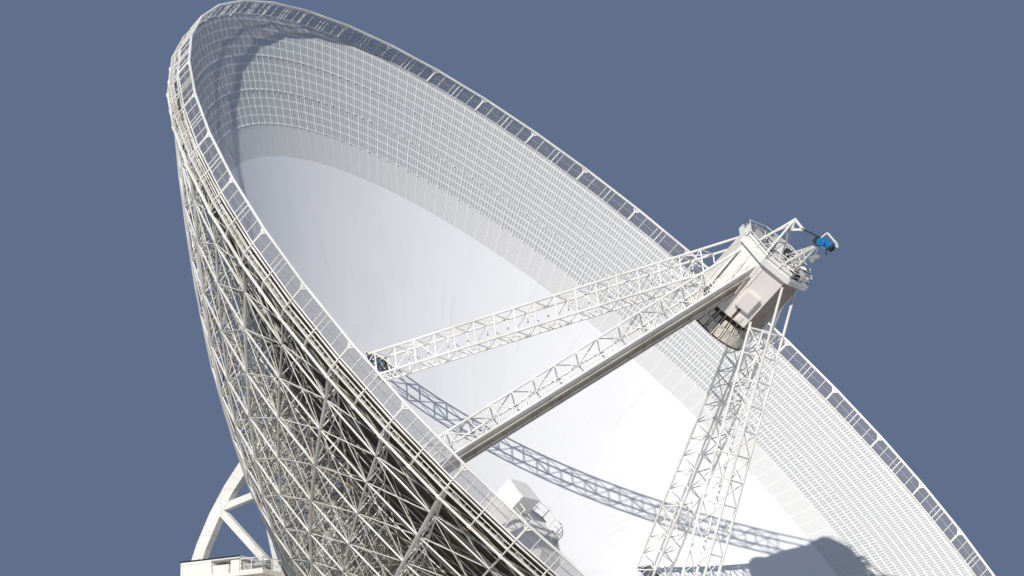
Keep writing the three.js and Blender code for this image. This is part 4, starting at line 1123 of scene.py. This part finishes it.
bowl_shell = [(0.2, CABIN_BOTTOM - 0.02), (2.2, CABIN_BOTTOM - 0.02), (2.52, CABIN_BOTTOM - 0.6),
              (2.85, CABIN_BOTTOM - 1.4), (3.1, CABIN_BOTTOM - 2.2), (3.0, CABIN_BOTTOM - BOWL_DEPTH + 0.02),
              (2.0, CABIN_BOTTOM - 1.4), (0.2, CABIN_BOTTOM - 0.9)]
rim_line = dish_point(BOWL_RIM - 0.08, np.arange(40) * 9.0, CABIN_BOTTOM - BOWL_DEPTH + 0.1)
piece("subreflector_shell", turned(bowl_shell, 40), recess_brown, replaces=("subreflector",))
piece("subreflector_segments",
      joined(segment_tier(2.56, 2.84, CABIN_BOTTOM - 1.12, CABIN_BOTTOM - 0.6, 0.5),
             segment_tier(2.92, 3.16, CABIN_BOTTOM - 2.1, CABIN_BOTTOM - 1.28, 0.66)), segment_cream)
piece("subreflector_rim", bars(*linked(rim_line, True), 0.07, 6), recess_brown)
piece("subreflector_ribs", bowl_ribs(), lattice_white)

# %% [markdown]
# On top of the cabin lies a service platform crowded with railings, and two lattice horns reach out of it:
# the taller carries a head plate, and from it a jib runs to the hoist motor at the end of the second.

# %% Cabin platform
DECK_LOW = 47.003
DECK_TOP = 47.503
DECK_HALF = 3.6
HOIST_TIP = np.array([1.0, 0.4, 51.1])
BOOM_TIP = np.array([1.0, -2.95, 51.15])


def platform_deck():
    """The deck slab with an edge beam, short brackets under it, and a low screen wall inside the railing."""
    rim = octagon_corners(DECK_HALF - 0.06, (DECK_LOW + DECK_TOP) / 2)
    near, far = (dish_point(radius, np.arange(16) * 22.5, DECK_LOW + 0.1) for radius in (3.25, 3.55))
    slab = octagon(DECK_HALF - 0.06, DECK_LOW + 0.15, DECK_TOP - 0.1)
    screen = octagon_corners(3.2, DECK_TOP + 0.2)
    return joined(slab, beams(near, far, 0.1, 0.16),
                  beams(*linked(rim, True), 0.12, DECK_TOP - DECK_LOW, hint=DISH_AXIS),
                  beams(*linked(screen, True), 0.06, 0.55, hint=DISH_AXIS))


def platform_railings():
    """A railing round the deck, and a second one round the hatch in its middle."""
    return joined(railing(octagon_corners(3.4, DECK_TOP - 0.05), DISH_AXIS, closed=True, height=0.75),
                  railing(octagon_corners(1.9, DECK_TOP), DISH_AXIS, closed=True, height=0.9))


def truss_horn(feet, tip, nodes, chord, web):
    """Chords from three feet to one tip; at each node a triangle of posts, and a diagonal on each side."""
    feet, tip = dish_local(*np.array(feet).T), dish_local(*tip)
    parts = [bars(feet, np.broadcast_to(tip, feet.shape), chord, 6)]
    steps = np.linspace(0.0, 0.86, nodes)[:, None]
    lines = [foot * (1 - steps) + tip * steps for foot in feet]
    for here, there in zip(lines, lines[1:] + lines[:1]):
        parts.append(bars(here, there, web, 5))
        parts.append(bars(here[:-1], there[1:], web * 0.8, 4))
    return joined(*parts)


def plate_arm(places, width, depth):
    """A box arm through places (up, axial) in the plane of both horns."""
    up, axial = np.array(places).T
    return beams(*linked(dish_local(HOIST_TIP[0], up, axial)), width, depth)


first_feet = [(3.3, 0.6, 47.1), (3.3, -1.1, 47.1), (-0.1, -0.5, DECK_TOP)]
second_feet = [(-2.1, 0.6, DECK_TOP), (-0.8, -0.7, DECK_TOP), (-1.35, -1.6, DECK_TOP)]
horn_heads = joined(plate_arm([(0.45, 51.15), (-0.91, 51.1), (-0.06, 50.34), (0.4, 51.1)], 0.18, 0.2),
                    plate_arm([(-2.76, 51.85), (-2.87, 52.5), (-4.2, 52.5), (-4.5, 52.3)], 0.26, 0.12))
piece("platform_deck", platform_deck(), lattice_white, replaces=("cabin_platform_and_hoist",))
piece("platform_railings", platform_railings(), lattice_white)
piece("hoist_horns", joined(truss_horn(first_feet, HOIST_TIP, 3, 0.1, 0.05),
                            truss_horn(second_feet, BOOM_TIP, 6, 0.1, 0.05), horn_heads), lattice_white)

# %% [markdown]
# The small things on the platform tell its size: equipment cabinets, cable drums, the dark jib between the
# horns and the blue motor with its hook block.

# %% Hoist and platform equipment
MOTOR = np.array([1.0, -3.5, 51.77])
BRAKE_BOX = np.array([1.0, -2.72, 51.38])


def between(start, end, radius, sides=16):
    """A round body between two points of the dish given as (x, up, axial)."""
    return bars(dish_local(*start), dish_local(*end), radius, sides)


motor_body = joined(between(MOTOR + (-0.4, 0.3, -0.15), MOTOR + (0.45, 0.3, -0.15), 0.4),
                    between(MOTOR + (-0.1, 0.3, 0.0), MOTOR + (-0.1, -0.5, 0.1), 0.34),
                    between(MOTOR + (0.45, 0.3, -0.15), MOTOR + (0.55, 0.3, -0.15), 0.3))
jib = joined(beams(dish_local(1.0, -0.9, 51.1), dish_local(1.0, -2.82, 51.83), 0.1, 0.12),
             face_block(0.0, (BRAKE_BOX[1] - 0.3, BRAKE_BOX[1] + 0.3), (0.7, 1.3),
                        (BRAKE_BOX[2] - 0.3, BRAKE_BOX[2] + 0.3)),
             between(MOTOR + (0, -0.5, 0.1), MOTOR + (0, -0.75, 0.1), 0.3),
             between(MOTOR + (0, -0.2, -0.2), MOTOR + (0, -0.7, -0.6), 0.07, 8))
hook_block = joined(between((0.6, -3.5, 50.3), (1.3, -3.6, 50.0), 0.3),
                    between((1.0, -3.1, 51.1), (1.0, -3.5, 50.2), 0.04, 6))
cabinets = joined(face_block(0.0, (0.9, 2.4), (-0.5, 1.2), (DECK_TOP - 0.1, DECK_TOP + 0.7)),
                  face_block(0.0, (-2.7, -1.9), (-2.2, -1.2), (DECK_TOP - 0.1, DECK_TOP + 0.6)),
                  face_block(0.0, (-0.6, 0.6), (1.9, 2.9), (DECK_TOP - 0.1, DECK_TOP + 0.6)))
reels = joined(between((-2.4, 0.4, 47.9), (-1.8, 0.4, 47.9), 0.45),
               between((0.2, -3.0, 47.8), (0.9, -3.0, 47.8), 0.36),
               between((-1.2, 2.4, 47.85), (-0.5, 2.4, 47.85), 0.4))
piece("hoist_motor", motor_body, motor_blue)
piece("hoist_jib", jib, dark_rubber)
piece("hoist_hook_block", hook_block, shaft_grey)
piece("platform_cabinets", cabinets, shaft_grey)
piece("platform_cable_reels", reels, dark_rubber)

# %% [markdown]
# In the middle of the bowl, round the hub, stands the vertex cabin: a drum with a band of windows under white
# sloping roofs and a lantern-like upper room. Its walls are built of posts and sheets round the glass.

# %% Vertex cabin
VERTEX_HALF = 4.0
ROOF_HALF = 2.8
VERTEX_FLOOR = 7.925
SILL = 12.3
LINTEL = 13.55
EAVES = 14.15


def vertex_walls():
    """Drum below the sill, band over the lintel, and posts between the windows."""
    side = VERTEX_HALF * CORNER_TANGENT
    posts = [face_block(turn, (VERTEX_HALF - 0.22, VERTEX_HALF - 0.03), (s - 0.06, s + 0.06), (SILL, LINTEL))
             for turn in np.arange(8) * 45.0 for s in np.linspace(-side + 0.06, side - 0.06, 5)]
    return joined(octagon(VERTEX_HALF - 0.02, VERTEX_FLOOR, SILL),
                  octagon(VERTEX_HALF - 0.02, LINTEL, EAVES), *posts)


def vertex_roof():
    """A hipped roof in eight planes, standing seams up each plane, and the upper room with its own roof."""
    low, high = VERTEX_HALF / CORNER_COSINE, ROOF_HALF / CORNER_COSINE
    hip = drum([(low, EAVES), (low, EAVES + 0.12), (high, 15.35)], 8, FIRST_CORNER)
    turns = np.arange(32) * 11.25
    seams = bars(dish_point(VERTEX_HALF - 0.02, turns, EAVES + 0.15), dish_point(ROOF_HALF, turns, 15.38),
                 0.04, 4)
    room = face_block(0.0, (0.8, 3.0), (0.2, 2.9), (EAVES, 17.0))
    lid = face_block(0.0, (0.75, 3.0), (0.15, 2.95), (17.0, 17.18))
    return joined(hip, seams, room, lid)


def vertex_fittings():
    """Railing on the roof, a thin gallery edge on the drum, and two doors."""
    gallery = flat_ring(4.2, 4.33, 9.2, 9.3, 8, first=FIRST_CORNER)
    doors = [face_block(turn, (3.96, 4.0), side, (9.4, 11.5))
             for turn, side in ((135.0, (-1.4, -0.5)), (180.0, (0.3, 1.2)))]
    return joined(railing(octagon_corners(2.5, 15.3), DISH_AXIS, closed=True), gallery, *doors)


piece("vertex_cabin_walls", vertex_walls(), cabin_white, replaces=("vertex_cabin",))
piece("vertex_cabin_windows", octagon(VERTEX_HALF - 0.16, SILL - 0.02, LINTEL + 0.02), glass)
piece("vertex_cabin_roof", vertex_roof(), cabin_white)
piece("vertex_cabin_fittings", vertex_fittings(), lattice_white)

# %% [markdown]
# The elevation wheel turns the dish. Along its rim runs a rack, bolted on in short lengths, and pinions on
# the drive deck below mesh with it. The real teeth are drawn coarser here so that they still show.

# %% Rack on the elevation wheel
WHEEL_RADIUS = 27.2
WHEEL_WIDTH = 0.8
rack_turns = np.arange(2.0, 178.0, 1.0)
diaphragm_turns = np.arange(4.0, 178.0, 6.0)


def wheel_point(degrees, radius, x):
    """The wheel lies across the elevation axis: u = r cos t, a = -r sin t."""
    angle = np.radians(degrees)
    return dish_local(x, radius * np.cos(angle), -radius * np.sin(angle))


def rim_stiffeners():
    """Thin plates across both sides of the rim at every diaphragm."""
    parts = []
    for x in (-WHEEL_WIDTH / 2 - 0.02, WHEEL_WIDTH / 2 + 0.02):
        parts.append(beams(wheel_point(diaphragm_turns, WHEEL_RADIUS - 1.15, x),
                           wheel_point(diaphragm_turns, WHEEL_RADIUS - 0.06, x), 0.08, 0.04, hint=(1, 0, 0)))
    return joined(*parts)


rack_ends = [wheel_point(rack_turns, WHEEL_RADIUS + 0.035, x) for x in (-0.28, 0.28)]
piece("wheel_rack", beams(*rack_ends, 0.2, 0.09, hint=DISH_UP + DISH_AXIS * 0.3), shaft_grey)
piece("wheel_rim_stiffeners", rim_stiffeners(), girder_white)

# %% [markdown]
# Platforms at the bearings carry the machine houses. Railings, doors and louvres give them their size, and
# each bearing block has a bolted ring on both faces. One side is modelled and mirrored to the other.

# %% Bearing platforms
DECK_Z = 48.1
UPPER_Z = 52.9


def across_axis(radius, degrees, x):
    """x along the elevation axis, y = r cos t and z = axis height + r sin t about it."""
    angle = np.radians(degrees)
    return ground_local(x, radius * np.cos(angle), AXIS_HEIGHT + radius * np.sin(angle))


def bearing_ring(x_inner, x_outer):
    """A flat ring round the trunnion with sixteen bolt heads on its inner face."""
    bolt = across_axis(1.5, np.arange(16) * 22.5, x_inner)
    return joined(flat_ring(1.25, 1.75, x_inner, x_outer, 32, across_axis),
                  bars(bolt, bolt + np.array([-0.07, 0, 0]) * SCALE, 0.09, 6))


def platform_rails():
    """Railings on the free edges of both decks."""
    low = ground_local([24.0, 21.5, 21.5], [-6.5, -6.5, -2.6], DECK_Z)
    corner = ground_local([24.0, 26.65, 26.65], [2.5, 2.5, 1.1], DECK_Z)
    high = ground_local([26.5, 26.5, 23.9, 23.9], [0.0, 2.3, 2.3, 0.0], UPPER_Z)
    return joined(railing(low), railing(corner), railing(high))


def house_fittings():
    """Louvres, doors and the cabinets in the recess of the machine house."""
    slats = [block((26.58, 26.64), (-5.4, -3.9), (z, z + 0.07)) for z in np.arange(49.2, 50.8, 0.16)]
    return joined(block((26.58, 26.63), (-4.2, -3.4), (51.0, 53.1)),
                  block((24.3, 25.2), (-6.26, -6.2), (48.15, 50.2)),
                  block((25.0, 26.4), (-2.9, -1.3), (52.8, 53.7)),
                  block((26.38, 26.45), (-2.6, -1.7), (48.15, 50.2)), *slats)


machine_drums = joined(bars(ground_local(24.8, 0.5, 53.45), ground_local(24.8, 1.7, 53.45), 0.56, 20),
                       bars(ground_local(25.6, -0.6, 52.9), ground_local(25.6, -0.6, 53.9), 0.4, 16))
roof_edges = joined(block((26.58, 26.66), (-6.24, 0.04), (54.22, 54.32)),
                    block((24.0, 26.66), (-6.26, -6.18), (54.22, 54.32)))
bearing_rings = joined(bearing_ring(23.9, 23.98), bearing_ring(21.3, 21.4))
piece("platform_rails", both_sides(platform_rails()), lattice_white, "alidade")
piece("machine_house_fittings", both_sides(house_fittings()), cabin_white, "alidade")
piece("bearing_rings", both_sides(bearing_rings), shaft_grey, "alidade")
piece("machine_drums", both_sides(machine_drums), shaft_grey, "alidade")
piece("roof_edges", both_sides(roof_edges), dark_rubber, "alidade")

# %% [markdown]
# Below the axis the A-frames come down to a square of box girders on four bogies. Steep stairs climb the rear
# legs to a landing, a caged ladder goes on to the deck, and walkways run over the ties.

# %% Stairs and walkways of the alidade
LEG_X = 22.6
FOOT_Y, FOOT_Z = 21.83, 5.7
HEAD_Y, HEAD_Z = 1.1, 48.6
STAIR_X = LEG_X + 1.5
STAIR_LEVELS = np.array([6.4, 16.7, 27.0, 37.0])


def a_leg_y(height):
    """y on the middle line of an A-frame leg, which runs straight from its foot to its head."""
    return FOOT_Y + (HEAD_Y - FOOT_Y) * (height - FOOT_Z) / (HEAD_Z - FOOT_Z)


def leg_stairs():
    """A steep stair beside the rear leg with a landing every ten metres, and the ladder from the last one."""
    parts = []
    for low, high in zip(STAIR_LEVELS[:-1], STAIR_LEVELS[1:]):
        ends = [ground_local(STAIR_X, -a_leg_y(z), z) for z in (low, high)]
        parts.append(stairway(*ends, 0.8, (1, 0, 0)))
    for level in STAIR_LEVELS[1:]:
        y = -a_leg_y(level)
        parts.append(block((LEG_X + 0.7, STAIR_X + 0.5), (y - 0.4, y + 0.8), (level - 0.12, level)))
    return joined(ladder(STAIR_X, -6.75, 37.0, 49.2, -1), *parts)


def leg_flanges():
    """Frames round each leg where its lengths are bolted together."""
    parts = []
    for level in (14.0, 36.0):
        for sign in (1, -1):
            ends = [ground_local(LEG_X, sign * a_leg_y(z), z) for z in (level - 0.12, level + 0.12)]
            parts.append(beams(*ends, 1.64, 2.14, hint=(1, 0, 0)))
    return joined(*parts)


tie_edges = [railing(ground_local(np.full(2, LEG_X + off), np.array([-10.8, 10.8]), 25.7))
             for off in (-0.65, 0.65)]
piece("leg_stairs", both_sides(leg_stairs()), lattice_white, "alidade")
piece("leg_flanges", both_sides(leg_flanges()), girder_white, "alidade")
piece("tie_walkways", both_sides(joined(*tie_edges)), lattice_white, "alidade")

# %% [markdown]
# The base girders are 45 m long. Ribs on their webs, railings on top and a ladder down keep them from looking
# like plain blocks, as on real ring-rail mounts.

# %% Base girders
GIRDER_TOP = 6.3
GIRDER_OUTER = 23.73
rib_places = np.arange(-18.0, 18.1, 2.25)


def web_ribs():
    """Upright plates on the outer webs of the four girders, every 2.25 m."""
    parts = []
    for angle in np.arange(4) * np.pi / 2:
        x = GIRDER_OUTER * np.cos(angle) - rib_places * np.sin(angle)
        y = GIRDER_OUTER * np.sin(angle) + rib_places * np.cos(angle)
        parts.append(beams(ground_local(x, y, 4.15), ground_local(x, y, GIRDER_TOP - 0.05), 0.12, 0.12,
                           hint=(1, 0, 0)))
    return joined(*parts)


def girder_rails():
    """Railings along both edges of each girder, clear of the A-frame feet."""
    parts, reach = [], np.array([-19.2, 19.2])
    for offset in (21.65, 23.6, -21.65, -23.6):
        parts.append(railing(ground_local(reach, offset, GIRDER_TOP)))
        parts.append(railing(ground_local(offset, reach, GIRDER_TOP)))
    return joined(*parts)


piece("girder_web_ribs", web_ribs(), girder_white, "alidade")
piece("girder_railings", girder_rails(), lattice_white, "alidade")
piece("ground_ladders", both_sides(ladder(12.0, GIRDER_OUTER + 0.12, 2.2, 7.4, 1)), lattice_white, "alidade")

# %% [markdown]
# Each corner rests on a bogie: a frame with four track wheels in line, axle boxes, and two drive motors with
# their gearboxes on the outer side.

# %% Bogies
TRACK_RADIUS = 32.0
WHEEL_PLACES = np.array([-3.6, -1.2, 1.2, 3.6])
AXLE_HEIGHT = 2.653
MOTOR_HEIGHT = 3.4


def bogie_local(quarter, radial, along, height):
    """Coordinates of one corner: radial from the azimuth axis, along the track's tangent, height."""
    angle = np.radians(45.0 + 90.0 * quarter)
    radial, along, height = np.broadcast_arrays(np.asarray(radial, float), along, height)
    return ground_local(radial * np.cos(angle) - along * np.sin(angle),
                        radial * np.sin(angle) + along * np.cos(angle), height)


def bogie_fittings(quarter):
    """Hubs and axle boxes at each wheel, the boxes' keepers, and rail guards at the ends."""
    parts = []
    for sign in (1, -1):
        near, far, outer = (TRACK_RADIUS + sign * off for off in (0.28, 0.4, 0.78))
        parts.append(bars(bogie_local(quarter, near, WHEEL_PLACES, AXLE_HEIGHT),
                          bogie_local(quarter, far, WHEEL_PLACES, AXLE_HEIGHT), 0.66, 24))
        parts.append(bars(bogie_local(quarter, far, WHEEL_PLACES, AXLE_HEIGHT),
                          bogie_local(quarter, outer, WHEEL_PLACES, AXLE_HEIGHT), 0.3, 16))
        parts.append(beams(bogie_local(quarter, outer, WHEEL_PLACES - 0.42, 2.9),
                           bogie_local(quarter, outer, WHEEL_PLACES + 0.42, 2.9), 0.2, 0.5))
    for end in (-4.66, 4.66):
        parts.append(beams(bogie_local(quarter, TRACK_RADIUS - 0.5, end, 2.55),
                           bogie_local(quarter, TRACK_RADIUS + 0.5, end, 2.55), 0.12, 1.0))
    return joined(*parts)


def bogie_drives(quarter):
    """Two finned motors lying along the track, each bolted to a gear case."""
    parts, outer, fins = [], TRACK_RADIUS + 1.35, np.arange(0.5, 1.4, 0.14)
    for middle in (-2.4, 1.4):
        parts.append(beams(bogie_local(quarter, TRACK_RADIUS + 0.85, middle, MOTOR_HEIGHT),
                           bogie_local(quarter, TRACK_RADIUS + 1.8, middle, MOTOR_HEIGHT), 0.7, 0.9))
        parts.append(bars(bogie_local(quarter, outer, middle + 0.3, MOTOR_HEIGHT),
                          bogie_local(quarter, outer, middle + 1.5, MOTOR_HEIGHT), 0.36, 18))
        parts.append(bars(bogie_local(quarter, outer, middle + fins, MOTOR_HEIGHT),
                          bogie_local(quarter, outer, middle + fins + 0.04, MOTOR_HEIGHT), 0.42, 18))
    return joined(*parts)


wheel_fittings = joined(*(bogie_fittings(quarter) for quarter in range(4)))
corner_drives = joined(*(bogie_drives(quarter) for quarter in range(4)))
piece("bogie_wheel_fittings", wheel_fittings, shaft_grey, "alidade")
piece("bogie_drives", corner_drives, motor_blue, "alidade")

# %% [markdown]
# The elevation drive sits on a deck in the middle: gear cases, motors and the pinions under the wheel. A
# stair leads up to it from the base girders.

# %% Elevation drive
DRIVE_DECK = 21.2
PINION_HEIGHT = 22.05


def drive_motors():
    """Four motors outside the gear cases, each with its terminal box."""
    parts = []
    for x in (3.6, -3.6):
        for y in (-1.5, 1.5):
            ends = [ground_local(place, y, DRIVE_DECK + 0.7) for place in (x, x + np.sign(x) * 1.3)]
            box = sorted((x + np.sign(x) * 0.4, x + np.sign(x) * 0.8))
            parts.append(bars(*ends, 0.42, 18))
            parts.append(block(box, (y - 0.15, y + 0.15), (DRIVE_DECK + 0.9, DRIVE_DECK + 1.3)))
            parts.append(block(box, (y - 0.3, y + 0.3), (DRIVE_DECK, DRIVE_DECK + 0.4)))
    return joined(*parts)


def pinions():
    """Wheels on shafts between the gear cases."""
    parts = []
    for y in (-1.4, 1.4):
        for reach, radius, sides in ((0.3, 0.5, 20), (0.7, 0.18, 12)):
            ends = [ground_local(x, y, PINION_HEIGHT) for x in (-reach, reach)]
            parts.append(bars(*ends, radius, sides))
    return joined(*parts)


deck_edge = ground_local([-6.3, 6.3, 6.3, -6.3], [-5.1, -5.1, 5.1, 5.1], DRIVE_DECK)
tower_stair = stairway(ground_local(-14.6, 14.6, 6.2), ground_local(-5.7, 5.7, DRIVE_DECK), 0.9,
                       (0.707, 0.707, 0.0))
stair_struts = bars(ground_local([-11.5, -8.0], [11.5, 8.0], [10.6, 14.8]),
                    ground_local([-12.0, -9.2], [12.0, 9.2], [10.6, 15.2]), 0.09, 6)
piece("drive_motors", drive_motors(), motor_blue, "alidade")
piece("drive_pinions", pinions(), shaft_grey, "alidade")
piece("drive_deck_rails", railing(deck_edge, closed=True), lattice_white, "alidade")
piece("drive_tower_stair", joined(tower_stair, stair_struts), lattice_white, "alidade")

# %% [markdown]
# The rail lies on a ring of concrete. Clip plates hold it every two degrees and a half, each with its bolt.

# %% Rail clips
CLIP_RADII = (31.35, 32.65)
clip_angles = np.arange(0.0, 360.0, 2.5)


def rail_clips():
    """Short plates on both sides of the rail with a bolt on each."""
    parts = []
    for radius in CLIP_RADII:
        inner, outer = (ground_point(radius + off, clip_angles, 1.66) for off in (-0.22, 0.22))
        foot, head = (ground_point(radius, clip_angles, z) for z in (1.68, 1.82))
        parts += [beams(inner, outer, 0.5, 0.1), bars(foot, head, 0.08, 6)]
    return joined(*parts)


piece("rail_clips", rail_clips(), shaft_grey, "base")

# %% [markdown]
# The remaining solids of the frame already have their real shape. They get the finish of the real pieces.

# %% Finishes for the solids that stay
finishes = {"white_paint": girder_white, "beige_paint": cabin_beige, "bogie_steel": shaft_grey,
            "rail_steel": rail_steel, "concrete": concrete, "panel_white": girder_white,
            "perforated_panel": girder_white}
slots = {entry["node"]: entry["material_slot"] for entry in frame["record"]["subparts"]}
for node_name, node in frame["nodes"].items():
    node.data.materials.clear()
    node.data.materials.append(finishes[slots[node_name]])
print("finished solids:", len(slots))
